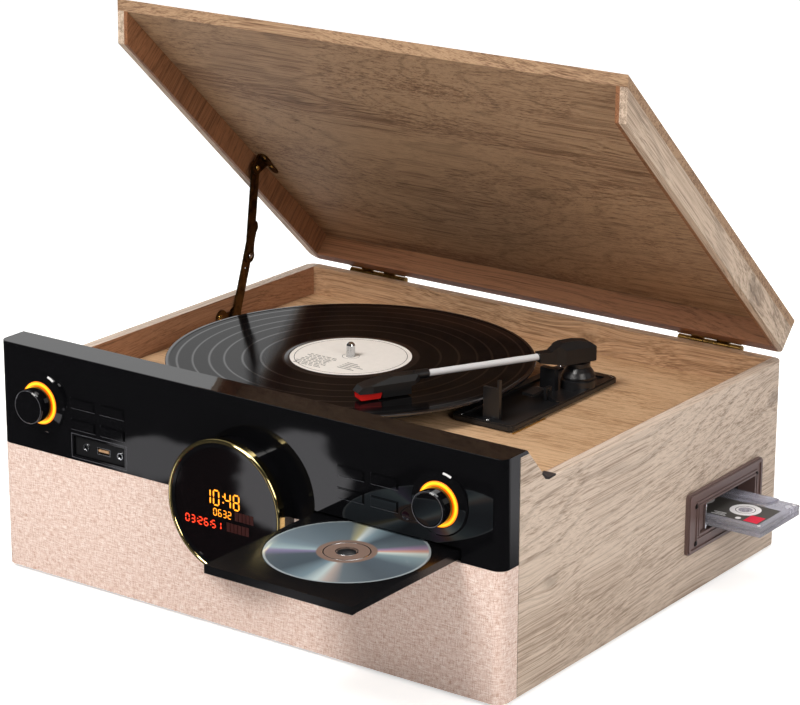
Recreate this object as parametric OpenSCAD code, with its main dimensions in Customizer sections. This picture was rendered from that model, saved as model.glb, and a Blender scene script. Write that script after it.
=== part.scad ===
// Stereo music centre: a wooden cabinet with a record deck under a hinged lid,
// a disc tray and controls in a gloss front, and a cassette slot in the right side.
// Working frame: x to the right, y to the back with 0 at the front edge of the
// side panels, z up with 0 at the underside of the cabinet.

/* [Cabinet] */
// Outer width of the cabinet
cabinet_w = 480; // [460:5:520]
// Depth of the side panels
side_d = 384; // [376:2:410]
// Height of the rim that the lid closes on
rim_h = 158; // [154:1:170]
// Height of the raised front behind the fascia
front_h = 187; // [186:1:200]
// Thickness of the wooden boards
board_t = 10; // [9:0.5:12]
// Height of the deck's upper face
deck_h = 133; // [131:1:135]
// Height of the rubber feet
foot_h = 3; // [2:0.5:5]
// Radius of the rubber feet
foot_r = 9; // [7:0.5:12]

/* [Front] */
// Depth of the front, before the side panels
front_d = 21; // [20:0.5:24]
// Radius of the cabinet's upright corners
corner_r = 9; // [8:0.25:9.5]
// Shadow gap between the front and the side panels
joint_gap = 0.8; // [0.4:0.1:1.2]
// Height at which the gloss fascia begins
fascia_z = 103; // [102:0.5:104]
// Wall of the fascia moulding
fascia_t = 3; // [2.5:0.25:4]
// Radius along the fascia's upper front edge
fascia_edge_r = 2; // [1:0.25:2.5]
// Thickness of the cloth on its stretcher
cloth_t = 3; // [2:0.25:3]
// Radius of the speaker openings
speaker_r = 38; // [34:1:38]
// Distance of each speaker from the middle
speaker_x = 150; // [145:1:160]
// Height of the speakers' middle
speaker_z = 54.5; // [54:0.5:55]

/* [Display] */
// Height of the display's middle
display_z = 106; // [104:0.5:110]
// Distance of the display's middle from the cabinet's middle
display_x = 3.5; // [0:0.5:5]
// Outer radius of the gold ring
ring_r = 53.5; // [50:0.5:55]
// Width of the gold ring
ring_w = 3.4; // [2.5:0.1:4.5]
// How far the display stands out of the front
display_proud = 22; // [16:1:26]

/* [Controls] */
// Height of both knobs' middle
knob_z = 144; // [142:0.5:146]
// Place of the source knob
knob_left_x = -196; // [-198:0.5:-193]
// Place of the volume knob
knob_right_x = 185.5; // [182:0.5:190]
// Radius of a knob
knob_r = 14; // [12:0.5:15]
// How far a knob stands out of the front
knob_proud = 16; // [13:0.5:20]
// Outer radius of the dish round a knob
dish_r = 24.5; // [22:0.5:25]
// Width of the light ring round a knob
glow_w = 3.4; // [2.5:0.1:4]
// Width of a push button
button_w = 24; // [20:0.5:25]
// Height of a push button
button_h = 8; // [6:0.5:9]
// Travel of a push button
button_travel = 0.8; // [0.5:0.1:1]
// Gap round a push button
button_gap = 0.3; // [0.2:0.05:0.5]

/* [Disc tray] */
// Width of the disc tray
tray_w = 130; // [126:1:134]
// Thickness of the disc tray
tray_t = 6.3; // [5.5:0.1:7]
// How far the tray's upper face lies below the deck's
tray_drop = 21.3; // [20.5:0.1:22]
// Place of the tray's middle
tray_x = 138; // [136:0.5:140]
// How far the open tray reaches out of the fascia
tray_out = 128; // [110:1:132]
// Diameter of a disc
disc_d = 120; // [118:0.5:122]
// Gap between the tray and its guides
tray_gap = 0.4; // [0.3:0.05:0.6]

/* [Record deck] */
// Place of the spindle across the cabinet
spindle_x = -55; // [-58:1:-52]
// Distance of the spindle from the rear edge
spindle_back = 189; // [184:1:194]
// Diameter of the record
record_d = 301.6; // [298:0.2:302]
// Radius of the platter
platter_r = 115; // [105:1:118]
// Radius of the spindle
spindle_r = 3.55; // [3.5:0.05:3.6]
// Place of the tonearm's pivot across the cabinet
arm_x = 110.8; // [108:0.2:114]
// How far the tonearm's pivot lies behind the spindle
arm_behind = 84.2; // [80:0.2:88]
// Direction of the tonearm at rest, from the x axis
arm_dir = -118.4; // [-121:0.2:-116]
// Length of the tonearm from its pivot to the tip
arm_len = 198; // [190:1:202]
// Radius of the tonearm's tube
tube_r = 2.7; // [2:0.1:3.2]

/* [Cassette] */
// Length of a cassette
cassette_l = 100.4; // [98:0.2:102]
// Width of a cassette
cassette_w = 63.8; // [62:0.2:65]
// Thickness of a cassette
cassette_t = 8.7; // [8:0.1:9.5]
// How far the cassette stands out of the side
cassette_out = 50; // [44:1:56]
// Distance of the cassette's front edge from the rear edge
cassette_back = 120; // [118:0.5:122]
// Height of the cassette's underside
cassette_z = 51.8; // [50:0.2:54]
// Length of the bezel
bezel_l = 116; // [112:1:120]
// Height of the bezel
bezel_h = 50; // [46:1:54]
// How far the bezel stands out of the side
bezel_proud = 4; // [3:0.5:6]

/* [Lid] */
// Angle at which the lid stands open
lid_angle = 42.8; // [40:0.2:44]
// Thickness of the lid's top board
lid_board_t = 7; // [5:0.5:8]
// Gap between the closed lid and the rim
lid_gap = 1; // [0.6:0.1:1.5]
// Depth of the lid's slanted front
slant_d = 24.3; // [20:0.1:28]
// Distance of each hinge from the middle
hinge_x = 169; // [150:1:180]
// Length of a hinge
hinge_l = 60; // [50:2:70]
// Radius of the hinge barrel
barrel_r = 3; // [2.5:0.1:3.4]
// Radius of the hinge pin
pin_r = 1.3; // [1:0.05:1.5]

/* [Hidden] */
$fn = 64;

half_w = cabinet_w / 2;
inner_x = half_w - board_t;
rear_y = side_d - board_t;
face_y = -front_d;
spindle_y = side_d - spindle_back;
arm_y = spindle_y + arm_behind;
cassette_y = side_d - cassette_back;
tray_z = deck_h - tray_drop;

// Lid and hinge, drawn closed and turned open
lid_h = front_h - rim_h - 2;
lid_z = rim_h + lid_gap;
lid_top_z = lid_z + lid_h;
lid_ceiling = lid_top_z - lid_board_t;
lid_foot_y = 34.6;
lid_face_y = lid_foot_y - slant_d;
slant_gap = 1.4;
slant = slant_d / lid_h;
hinge_y = side_d + 5;
hinge_z = rim_h - 1;
leaf_t = 1.2;
leaf_h = 20;
knuckles = 5;
knuckle_gap = 0.3;
pin_gap = 0.05;

// Front
baffle_t = 11.5;
baffle_top = front_h - fascia_t;
clear = 0.4;
display_r = ring_r - ring_w;
housing_r = display_r;
display_y = face_y - display_proud;
lens_t = 2.4;
ring_d = 5;
housing_back = -baffle_t;
button_x = [-153, -123, 106, 136.5];
button_top_z = 150;
button_low_z = 132.6;
button_proud = 1.2;
button_d = 8;
board_y = -baffle_t;
pcb_t = 1.2;
jack_x = -137.5;
jack_z = 115;
jack_w = 52;
jack_h = 15.6;
jack_sink = 2;
headphone_x = -152;
aux_x = -117;
usb_x = -134;
jack_r = 1.8;
jack_body_r = 3.2;
jack_l = 5;
usb_w = 13.2;
usb_h = 5.7;
usb_wall = 0.4;
knob_gap = 0.6;
shaft_r = 3;
shaft_gap = 0.3;
glow_proud = 3;
dish_floor = 0.6;

// Disc tray and loader
tray_front_y = face_y - tray_out;
tray_back_y = 15;
tray_low = tray_z - tray_t;
disc_t = 1.2;
disc_hole_r = 7.5;
disc_y = tray_front_y + 20.7 + disc_d / 2;
slot_top = tray_z + 1.8;
loader_wall = 1.6;
loader_low = tray_low - 6;
loader_top = slot_top + 4;
loader_back = tray_back_y + tray_out + 8;

// Turntable heights
mat_t = 1;
record_t = 1.9;
label_r = 50;
platter_low = deck_h + 4;
platter_rise = 17;
platter_top = deck_h + platter_rise;
record_low = platter_top + mat_t;
record_top = record_low + record_t;
drive_ring_r = 62;
pulley_r = 6;
pulley_reach = 88;
pulley_dir = 130;
belt_t = 0.8;
motor_r = 17;
motor_h = 26;
belt_gap = 0.3;
belt_h = 4;
belt_low = platter_low + 2;
pulley_x = spindle_x + pulley_reach * cos(pulley_dir);
pulley_y = spindle_y + pulley_reach * sin(pulley_dir);
spindle_top = record_top + 12;
neck_r = spindle_r - 0.35;
record_hole_r = 3.62;
bearing_r = 8;
bearing_d = 22;
bearing_wall = 2;

// Tonearm
tube_z = deck_h + 34.3;
base_x0 = 69;
base_x1 = 126;
base_y0 = arm_y - 119.7;
base_y1 = arm_y + 36.8;
base_t = 6;
dome_r = 16;
pedestal_r = 14.5;
dome_top = deck_h + 21.5;
turret_gap = 0.4;
turret_r = 9.5;
turret_t = 3.4;
tongue_w = 6;
tongue_gap = 0.5;
arm_pin_r = 1.25;
housing_w = 17;
housing_top_w = 8;
neck_w = 8;
housing_back_l = 11.5;
housing_front_l = 16;
neck_end = 38;
shell_start = arm_len - 62.5;
shell_w = 15;
shell_top_w = 9;
cartridge_low = -13.3;
rest_angle = 25;
rest_x0 = 94.6;
rest_stop_x = 107.8;
rest_x1 = 109.8;
rest_y0 = arm_y - 112.7;
rest_y1 = rest_y0 + 3;
cue_y = arm_y - 43;
cue_x = 109;
cue_h = 12;
cue_pin_r = 1.4;

// Cassette
bezel_y = cassette_y - 30;
bezel_z = cassette_z - 16.8;
opening_y0 = bezel_y + 17;
opening_y1 = bezel_y + bezel_l - 12;
opening_z0 = bezel_z + 14;
opening_z1 = bezel_z + bezel_h - 13;
mech_depth = 112;
eject_w = 9;

// Lid stay
stay_x = -inner_x + 1.2;
stay_t = 1.6;
stay_w = 10;
stay_end_r = 6;
stay_low = [hinge_y - 128.5, deck_h + 8.3];
stay_elbow = [hinge_y - 111.6, deck_h + 57.6];
stay_high = [hinge_y - 101.7, deck_h + 134.3];
stay_tail = 25;
stay_pin_r = 1.5;
stay_plane_gap = 0.3;
stay_plate_t = 1.2;

// The part's own origin: below the middle of its box
cassette_x1 = half_w + cassette_out;
lid_rear_y = hinge_y - (hinge_y - side_d) * cos(lid_angle) + (lid_top_z - hinge_z) * sin(lid_angle);
shift_x = (cassette_x1 - half_w) / 2;
shift_y = (tray_front_y + lid_rear_y) / 2;

module placed() {
    translate([-shift_x, -shift_y, foot_h]) children();
}

// A box from its lowest to its highest corner
module span(low, high) {
    translate(low) cube(high - low);
}

// A profile drawn in y and z, extruded from x0 to x1
module along_x(x0, x1) {
    translate([x0, 0, 0]) rotate([90, 0, 90]) linear_extrude(x1 - x0) children();
}

// A round bar along y from y0 to y1
module rod_y(x, z, r, y0, y1) {
    translate([x, y0, z]) rotate([-90, 0, 0]) cylinder(r = r, h = y1 - y0);
}

// A round bar along x from x0 to x1
module rod_x(y, z, r, x0, x1) {
    translate([x0, y, z]) rotate([0, 90, 0]) cylinder(r = r, h = x1 - x0);
}

// Everything inside is drawn with the lid closed and shown with it open
module lid_open() {
    translate([0, hinge_y, hinge_z]) rotate([-lid_angle, 0, 0])
        translate([0, -hinge_y, -hinge_z]) children();
}

// Where the sloping end of the raised front lies at a height
function slope_y(z) = lid_foot_y - slant_gap + lid_gap * slant - (z - rim_h) * slant;

// Plan of the cabinet behind the front, with rounded rear corners
module rear_plan() {
    x = half_w - corner_r;
    union() {
        translate([-half_w, 0]) square([2 * half_w, side_d - corner_r]);
        translate([-x, 0]) square([2 * x, side_d]);
        for (side = [-1, 1]) translate([side * x, side_d - corner_r]) circle(r = corner_r);
    }
}

// Plan of the front: straight face with rounded upright corners, drawn back to y1
module front_plan(inset, y1) {
    r = corner_r - inset;
    x = half_w - corner_r;
    y = face_y + corner_r;
    union() {
        translate([-x, face_y + inset]) square([2 * x, y1 - face_y - inset]);
        translate([-half_w + inset, y]) square([2 * (half_w - inset), y1 - y]);
        intersection() {
            for (side = [-1, 1]) translate([side * x, y]) circle(r = r);
            translate([-half_w, face_y]) square([2 * half_w, y - face_y]);
        }
    }
}

/* Cabinet boards */
module side_profile() {
    top = front_h - fascia_t;
    polygon([[0, 0], [side_d, 0], [side_d, rim_h], [slope_y(rim_h), rim_h], [slope_y(top), top], [0, top]]);
}

module side_board(x0, x1) {
    intersection() {
        along_x(x0, x1) side_profile();
        linear_extrude(front_h) rear_plan();
    }
}

module side_panel_left() {
    color("#c3ad94") placed() side_board(-half_w, -inner_x);
}

module side_panel_right() {
    color("#b5a08c") placed() difference() {
        side_board(inner_x, half_w);
        span([inner_x - 1, opening_y0 - 4, opening_z0 - 4], [half_w + 1, opening_y1 + 4, opening_z1 + 4]);
    }
}

terminal_x0 = -200;
terminal_x1 = -120;
terminal_z0 = 40;
terminal_z1 = 80;
terminal_lap = 6;
terminal_z = 60;
phono_x = [terminal_x0 + 16, terminal_x0 + 32];
phono_r = 4.15;
inlet_x = terminal_x1 - 16;
inlet_r = 5;

module rear_panel() {
    color("#b9a58d") placed() difference() {
        span([-inner_x, rear_y, board_t], [inner_x, side_d, rim_h]);
        span([terminal_x0, rear_y - 1, terminal_z0], [terminal_x1, side_d + 1, terminal_z1]);
    }
}

module bottom_panel() {
    color("#8c7a66") placed() span([-inner_x, 0, 0], [inner_x, side_d, board_t]);
}

module deck_panel() {
    color("#c9a27a") placed() difference() {
        span([-inner_x, 0, deck_h - board_t], [inner_x, rear_y, deck_h]);
        translate([spindle_x, spindle_y, deck_h - board_t - 1]) cylinder(r = bearing_r, h = board_t + 2);
        translate([pulley_x, pulley_y, deck_h - board_t - 1]) cylinder(r = pulley_r + 3, h = board_t + 2);
    }
}

/* Front */
module tray_slot(grow) {
    span([tray_x - tray_w / 2 - 1 - grow, face_y - 1, fascia_z - 1],
         [tray_x + tray_w / 2 + 1 + grow, 1, slot_top + grow]);
}

// Plan of the baffle board, which fills the front's plan behind its front face
module baffle_plan(inset) {
    intersection() {
        front_plan(inset, 0);
        translate([-half_w, -baffle_t]) square([2 * half_w, baffle_t]);
    }
}

module front_baffle() {
    color("#2a2725") placed() difference() {
        union() {
            linear_extrude(fascia_z) baffle_plan(cloth_t);
            translate([0, 0, fascia_z]) linear_extrude(baffle_top - fascia_z) baffle_plan(fascia_t);
        }
        for (side = [-1, 1]) rod_y(side * speaker_x, speaker_z, speaker_r, -baffle_t - 1, 1);
        rod_y(display_x, display_z, housing_r - 8, -baffle_t - 1, 1);
        tray_slot(0);
    }
}

module grille_cloth() {
    color("#d8b9a8") placed() difference() {
        linear_extrude(fascia_z - 0.2) difference() {
            front_plan(0, -joint_gap);
            front_plan(cloth_t, 1);
        }
        rod_y(display_x, display_z, housing_r + clear, face_y - 1, 1);
    }
}

// Section of the fascia: its front, and the top plate that also covers the side panels
module fascia_profile() {
    y = face_y + fascia_edge_r;
    z = front_h - fascia_edge_r;
    low = front_h - fascia_t;
    union() {
        translate([face_y, fascia_z]) square([front_d - joint_gap, z - fascia_z]);
        polygon([[y, low], [slope_y(low), low], [slope_y(front_h), front_h], [y, front_h]]);
        translate([y, z]) circle(r = fascia_edge_r);
    }
}

module fascia() {
    color("#0b0b0d") placed() {
        difference() {
            intersection() {
                translate([0, 0, fascia_z]) linear_extrude(front_h - fascia_z) front_plan(0, slope_y(front_h) + 10);
                along_x(-half_w, half_w) fascia_profile();
            }
            translate([0, 0, fascia_z - 1]) linear_extrude(front_h - fascia_z - fascia_t + 1)
                front_plan(fascia_t, 1);
            rod_y(display_x, display_z, housing_r + clear, face_y - 1, 1);
            tray_slot(0);
            for (x = [knob_left_x, knob_right_x]) rod_y(x, knob_z, dish_r - 5, face_y - 1, 1);
            for (x = button_x) for (z = [button_low_z, button_top_z])
                span([x - button_w / 2 - button_gap, face_y - 1, z - button_h / 2 - button_gap],
                     [x + button_w / 2 + button_gap, 1, z + button_h / 2 + button_gap]);
            span([jack_x - jack_w / 2, face_y - 1, jack_z - jack_h / 2],
                 [jack_x + jack_w / 2, 1, jack_z + jack_h / 2]);
        }
    }
}

module display_housing() {
    color("#111114") placed() translate([display_x, housing_back, display_z]) rotate([90, 0, 0])
        difference() {
            cylinder(r = housing_r, h = housing_back - display_y - 1);
            translate([0, 0, 8]) cylinder(r = housing_r - 3, h = 100);
        }
}

module display_ring() {
    mid = ring_r - ring_w / 2;
    color("#e8c878") placed() translate([display_x, display_y + ring_w / 2, display_z]) rotate([90, 0, 0])
        rotate_extrude() difference() {
            union() {
                translate([mid, 0]) circle(r = ring_w / 2, $fn = 32);
                translate([display_r, -ring_d]) square([ring_w, ring_d]);
            }
            translate([0, -10]) square([display_r, 20]);
        }
}

module display_lens() {
    front = display_y + 1.6;
    color("#0a0506") placed() rod_y(display_x, display_z, housing_r - 3, front, front + lens_t);
}

module knob_dishes() {
    color("#151517") placed() for (x = [knob_left_x, knob_right_x])
        translate([x, face_y, knob_z]) rotate([90, 0, 0]) {
            difference() {
                union() {
                    translate([0, 0, -fascia_t]) cylinder(r = dish_r - 5, h = fascia_t + 0.1);
                    rotate_extrude() polygon([[0, 0], [dish_r, 0], [dish_r, 0.6], [dish_r - 1.2, 1.6],
                        [knob_r + glow_w + 0.4, glow_proud - 0.4], [knob_r + glow_w, glow_proud - 0.6],
                        [knob_r + glow_w, dish_floor], [0, dish_floor]]);
                }
                translate([0, 0, -5]) cylinder(r = shaft_r + shaft_gap, h = 20);
            }
        }
}

module light_rings() {
    color("#ff9a1e") placed() for (x = [knob_left_x, knob_right_x])
        translate([x, face_y, knob_z]) rotate([90, 0, 0]) rotate_extrude()
            polygon([[knob_r - 2, dish_floor], [knob_r + glow_w - 0.1, dish_floor],
                     [knob_r + glow_w - 0.1, glow_proud - 0.4], [knob_r + glow_w - 0.8, glow_proud],
                     [knob_r - 1.2, glow_proud], [knob_r - 2, glow_proud - 0.6]]);
}

// Plate in the fascia's opening, with a flange behind the fascia's wall
module jack_panel() {
    w = jack_w / 2 - 0.1;
    h = jack_h / 2 - 0.1;
    lap = 2;
    color("#141416") placed() difference() {
        union() {
            span([jack_x - w, face_y + jack_sink, jack_z - h], [jack_x + w, face_y + fascia_t + 1, jack_z + h]);
            span([jack_x - w - lap, face_y + fascia_t, jack_z - h - lap],
                 [jack_x + w + lap, face_y + fascia_t + 1, jack_z + h + lap]);
        }
        for (x = [headphone_x, aux_x]) rod_y(x, jack_z, jack_body_r, face_y, 0);
        span([usb_x - usb_w / 2, face_y, jack_z - usb_h / 2], [usb_x + usb_w / 2, 0, jack_z + usb_h / 2]);
    }
}

module front_sockets() {
    mouth = face_y + jack_sink - 0.4;
    color("#b9bcc0") placed() {
        for (x = [headphone_x, aux_x]) difference() {
            rod_y(x, jack_z, jack_body_r, mouth, mouth + jack_l);
            rod_y(x, jack_z, jack_r, mouth - 1, mouth + jack_l + 1);
        }
        difference() {
            span([usb_x - usb_w / 2, mouth, jack_z - usb_h / 2],
                 [usb_x + usb_w / 2, mouth + jack_l, jack_z + usb_h / 2]);
            span([usb_x - usb_w / 2 + usb_wall, mouth - 1, jack_z - usb_h / 2 + usb_wall],
                 [usb_x + usb_w / 2 - usb_wall, mouth + jack_l + 1, jack_z + usb_h / 2 - usb_wall]);
        }
    }
}

// A round knob with a fine rim, on its shaft
module knob(x) {
    low = glow_proud + knob_gap;
    placed() translate([x, face_y, knob_z]) rotate([90, 0, 0]) {
        rotate_extrude() polygon([[0, low], [knob_r - 1, low], [knob_r, low + 1], [knob_r, knob_proud - 2],
            [knob_r - 0.5, knob_proud - 0.7], [knob_r - 1.2, knob_proud],
            [knob_r - 1.8, knob_proud - 0.2], [0, knob_proud - 0.2]]);
        translate([0, 0, -6]) cylinder(r = shaft_r, h = low + 6.5);
    }
}

module source_knob() {
    color("#101012") knob(knob_left_x);
}

module volume_knob() {
    color("#101012") knob(knob_right_x);
}

// A push button: numbers 0 to 3 are the upper row, 4 to 7 the lower
module button(number) {
    x = button_x[number % 4];
    z = number < 4 ? button_top_z : button_low_z;
    color("#1a1a1d") placed() translate([x, face_y - button_proud, z]) rotate([-90, 0, 0])
        intersection() {
            translate([-button_w / 2, -button_h / 2, 0]) cube([button_w, button_h, button_d]);
            union() {
                translate([-button_w / 2 + 0.6, -button_h / 2 + 0.6, 0]) cube([button_w - 1.2, button_h - 1.2, 2]);
                translate([-button_w / 2, -button_h / 2, 0.6]) cube([button_w, button_h, button_d]);
            }
        }
}

module button_1() { button(0); }
module button_2() { button(1); }
module button_3() { button(2); }
module button_4() { button(3); }
module button_5() { button(4); }
module button_6() { button(5); }
module button_7() { button(6); }
module button_8() { button(7); }

/* Cassette side */
module yz_rect(grow) {
    translate([opening_y0 - grow, opening_z0 - grow])
        square([opening_y1 - opening_y0 + 2 * grow, opening_z1 - opening_z0 + 2 * grow]);
}

// Frame with a raised rim, a sunk channel for its screws and two beads round the opening
module cassette_bezel() {
    face = half_w + bezel_proud;
    rim = 3.5;
    color("#5b4440") placed() difference() {
        union() {
            along_x(half_w, face - 1.2) translate([bezel_y, bezel_z])
                offset(r = 3, $fn = 24) offset(delta = -3) square([bezel_l, bezel_h]);
            difference() {
                along_x(half_w, face) translate([bezel_y + 1, bezel_z + 1])
                    offset(r = 2.4, $fn = 24) offset(delta = -2.4) square([bezel_l - 2, bezel_h - 2]);
                along_x(face - 1.1, face + 1) translate([bezel_y + rim, bezel_z + rim])
                    square([bezel_l - 2 * rim, bezel_h - 2 * rim]);
            }
            along_x(half_w, face - 0.3) yz_rect(4.6);
            along_x(inner_x - 2, half_w + 0.5) yz_rect(3.8);
        }
        difference() {
            along_x(face - 1.1, face + 1) yz_rect(3.2);
            along_x(face - 2, face + 2) yz_rect(1.6);
        }
        along_x(inner_x - 3, face + 1) yz_rect(0);
    }
}

// Open box on the bezel's sleeve, with a step that carries the thinner part of the cassette
module cassette_mechanism() {
    x1 = inner_x - 2;
    x0 = x1 - mech_depth;
    step_w = cassette_w - 16;
    color("#3a3a3c") placed() difference() {
        span([x0, opening_y0 - 2, opening_z0 - 6], [x1, opening_y1 + 2, opening_z1 + 5]);
        span([x0 + 4, opening_y0, opening_z0 - 2], [x1 + 1, opening_y1, opening_z1 + 1]);
    }
    color("#3a3a3c") placed()
        span([x0 + 4, cassette_y, opening_z0 - 2], [x1 - 6, cassette_y + step_w, cassette_z - 0.3]);
}

module cassette() {
    hub_y = cassette_y + 28;
    x0 = cassette_x1 - cassette_l;
    color([0.55, 0.55, 0.6, 0.6]) placed() difference() {
        union() {
            span([x0, cassette_y, cassette_z], [cassette_x1, cassette_y + cassette_w, cassette_z + cassette_t]);
            translate([0, cassette_y + cassette_w, cassette_z - 1.4]) linear_extrude(cassette_t + 2.8)
                polygon([[x0 + 18, -0.6], [x0 + 21, -14], [cassette_x1 - 21, -14], [cassette_x1 - 18, -0.6]]);
        }
        for (side = [-1, 1]) translate([x0 + cassette_l / 2 + side * 21.2, hub_y, cassette_z - 2])
            cylinder(r = 5.6, h = 20);
    }
}

module eject_button() {
    color("#241f1f") placed()
        span([inner_x - 8, opening_y0 + 0.6, opening_z0 + 0.6],
             [half_w + 1, opening_y0 + 0.6 + eject_w, opening_z1 - 0.6]);
}

/* Disc tray */
module cd_loader() {
    x0 = tray_x - tray_w / 2 - tray_gap - loader_wall;
    x1 = tray_x + tray_w / 2 + tray_gap + loader_wall;
    color("#4a4c50") placed() difference() {
        span([x0, 0, loader_low], [x1, loader_back, loader_top]);
        span([x0 + loader_wall, -1, tray_low - tray_gap],
             [x1 - loader_wall, loader_back - loader_wall, loader_top - loader_wall]);
        span([x0 + 14, -1, loader_low + loader_wall],
             [x1 - 14, loader_back - loader_wall, loader_top - loader_wall]);
    }
}

module cd_tray() {
    color("#1b1b1e") placed() difference() {
        union() {
            span([tray_x - tray_w / 2, tray_front_y + 3, tray_low + 0.3], [tray_x + tray_w / 2, tray_back_y, tray_z]);
            span([tray_x - tray_w / 2, tray_front_y, tray_low], [tray_x + tray_w / 2, tray_front_y + 3.5, tray_z]);
        }
        translate([tray_x, disc_y, tray_z - 1.6]) cylinder(r = disc_d / 2 + 1, h = 10);
        translate([tray_x, disc_y, tray_z - 2.6]) cylinder(r = 41, h = 10);
        translate([tray_x, disc_y, tray_low - 1]) cylinder(r = 19, h = 20);
        span([tray_x - 15, disc_y, tray_low - 1], [tray_x + 15, disc_y + disc_d / 2 - 6, tray_z + 1]);
    }
}

module disc() {
    color("#c7ccd4") placed() translate([tray_x, disc_y, tray_z - 1.6]) difference() {
        cylinder(r = disc_d / 2, h = disc_t);
        translate([0, 0, -1]) cylinder(r = disc_hole_r, h = 5);
    }
}

/* Record deck */
module platter_bearing() {
    color("#9aa0a6") placed() translate([spindle_x, spindle_y, deck_h - bearing_d]) difference() {
        cylinder(r = bearing_r, h = bearing_d + platter_low - deck_h - 2.5);
        translate([0, 0, bearing_wall]) cylinder(r = neck_r + pin_gap, h = bearing_d + board_t);
    }
}

// Its upper end, above the record, is the full diameter
module spindle() {
    low = deck_h - bearing_d + bearing_wall + 0.3;
    color("#c9cdd2") placed() translate([spindle_x, spindle_y, 0]) rotate_extrude()
        polygon([[0, low], [neck_r, low], [neck_r, record_top - 0.6], [spindle_r, record_top + 0.1],
                 [spindle_r, spindle_top - 2.5], [spindle_r - 0.6, spindle_top - 1],
                 [spindle_r - 1.8, spindle_top], [0, spindle_top]]);
}

module platter() {
    hub_r = 10;
    hub_low = platter_low - 2;
    web = platter_top - 3;
    color("#1c1c1e") placed() translate([spindle_x, spindle_y, 0]) rotate_extrude()
        polygon([[neck_r, hub_low], [hub_r, hub_low], [hub_r, web], [drive_ring_r - 3, web],
                 [drive_ring_r - 3, platter_low], [drive_ring_r, platter_low], [drive_ring_r, web],
                 [platter_r - 4, web], [platter_r - 4, platter_low], [platter_r, platter_low],
                 [platter_r, platter_top - 1], [platter_r - 1, platter_top], [neck_r, platter_top]]);
}

module slipmat() {
    color("#26262a") placed() translate([spindle_x, spindle_y, platter_top]) difference() {
        cylinder(r = platter_r - 1.5, h = mat_t);
        translate([0, 0, -1]) cylinder(r = neck_r, h = 5);
    }
}

module record() {
    r = record_d / 2;
    color("#0d0d0e") placed() translate([spindle_x, spindle_y, record_low]) rotate_extrude()
        polygon([[record_hole_r, 0], [r - 0.4, 0], [r, 0.5], [r, record_t - 0.5], [r - 0.4, record_t - 0.1],
                 [r - 3, record_t], [r - 4, record_t - 0.3], [label_r + 4, record_t - 0.3],
                 [label_r + 1, record_t], [record_hole_r, record_t]]);
}

module drive_motor() {
    color("#8f949a") placed() translate([pulley_x, pulley_y, deck_h - board_t - motor_h])
        cylinder(r = motor_r, h = motor_h);
}

module motor_pulley() {
    color("#c8a050") placed() translate([pulley_x, pulley_y, 0]) {
        translate([0, 0, belt_low - 1]) cylinder(r = pulley_r, h = belt_h + 2);
        translate([0, 0, deck_h - board_t + 0.3]) cylinder(r = 1.5, h = belt_low - deck_h + board_t);
    }
}

module belt_loop(grow) {
    hull() {
        circle(r = drive_ring_r + grow, $fn = 72);
        translate([pulley_reach * cos(pulley_dir), pulley_reach * sin(pulley_dir)]) circle(r = pulley_r + grow, $fn = 32);
    }
}

module drive_belt() {
    color("#101010") placed() translate([spindle_x, spindle_y, belt_low]) linear_extrude(belt_h) difference() {
        belt_loop(belt_gap + belt_t);
        belt_loop(belt_gap);
    }
}

// Plate with a raised lip, a domed turret foot, the arm's rest and lift, and a cue post
module arm_base() {
    w = base_x1 - base_x0;
    l = base_y1 - base_y0;
    floor_z = deck_h + base_t - 1.6;
    sunk = floor_z - 1;
    color("#151516") placed() {
        difference() {
            union() {
                translate([base_x0 + 2.5, base_y0 + 2.5, deck_h]) cube([w - 5, l - 5, 2]);
                translate([base_x0, base_y0, deck_h + 1.6]) linear_extrude(base_t - 2.6)
                    offset(r = 5, $fn = 24) offset(delta = -5) square([w, l]);
                translate([base_x0 + 1, base_y0 + 1, deck_h + 3]) linear_extrude(base_t - 3)
                    offset(r = 4, $fn = 24) offset(delta = -4) square([w - 2, l - 2]);
            }
            translate([base_x0 + 8, base_y0 + 8, floor_z]) cube([w - 16, l - 16, base_t]);
        }
        translate([arm_x, arm_y, sunk]) rotate_extrude() polygon([[0, 0], [pedestal_r, 0], [pedestal_r, 8],
            [dome_r - 3, 8.6], [dome_r - 2.2, 11], [dome_r - 4.2, 15], [turret_r, dome_top - sunk], [0, dome_top - sunk]]);
        span([rest_x0, rest_y0, sunk], [rest_x1, rest_y1, tube_z - tube_r - 0.4]);
        span([rest_stop_x, rest_y0, sunk], [rest_x1, rest_y1, tube_z + 4]);
        span([arm_x - 22, arm_y - 23, sunk], [arm_x - 8, arm_y - 17.5, tube_z - 11.5]);
        translate([arm_x - 16.6, arm_y - 35.4, sunk]) cylinder(r = 3.4, h = 6);
        translate([cue_x - 2, cue_y + 1, sunk]) rotate([0, 0, -30]) cube([18, 2.6, 4.4]);
        difference() {
            span([cue_x - 1, cue_y - 4, sunk], [cue_x + 1.6, cue_y + 4, deck_h + cue_h + 3]);
            rod_x(cue_y, deck_h + cue_h, cue_pin_r + pin_gap, cue_x - 2, cue_x + 3);
        }
    }
}

module in_arm_frame() {
    translate([arm_x, arm_y, 0]) rotate([0, 0, arm_dir]) children();
}

module arm_turret() {
    low = dome_top + turret_gap;
    color("#1b1b1d") placed() in_arm_frame() difference() {
        union() {
            translate([0, 0, low]) cylinder(r = turret_r, h = turret_t);
            translate([-4, -tongue_w / 2, low]) cube([8, tongue_w, tube_z + 4 - low]);
        }
        translate([0, -10, tube_z]) rotate([-90, 0, 0]) cylinder(r = arm_pin_r + pin_gap, h = 20);
    }
}

// The tube, drawn along x from the arm's housing to the headshell
module arm_tube_bar() {
    rod_x(0, tube_z, tube_r, neck_end - 12, shell_start + 4);
}

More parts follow.
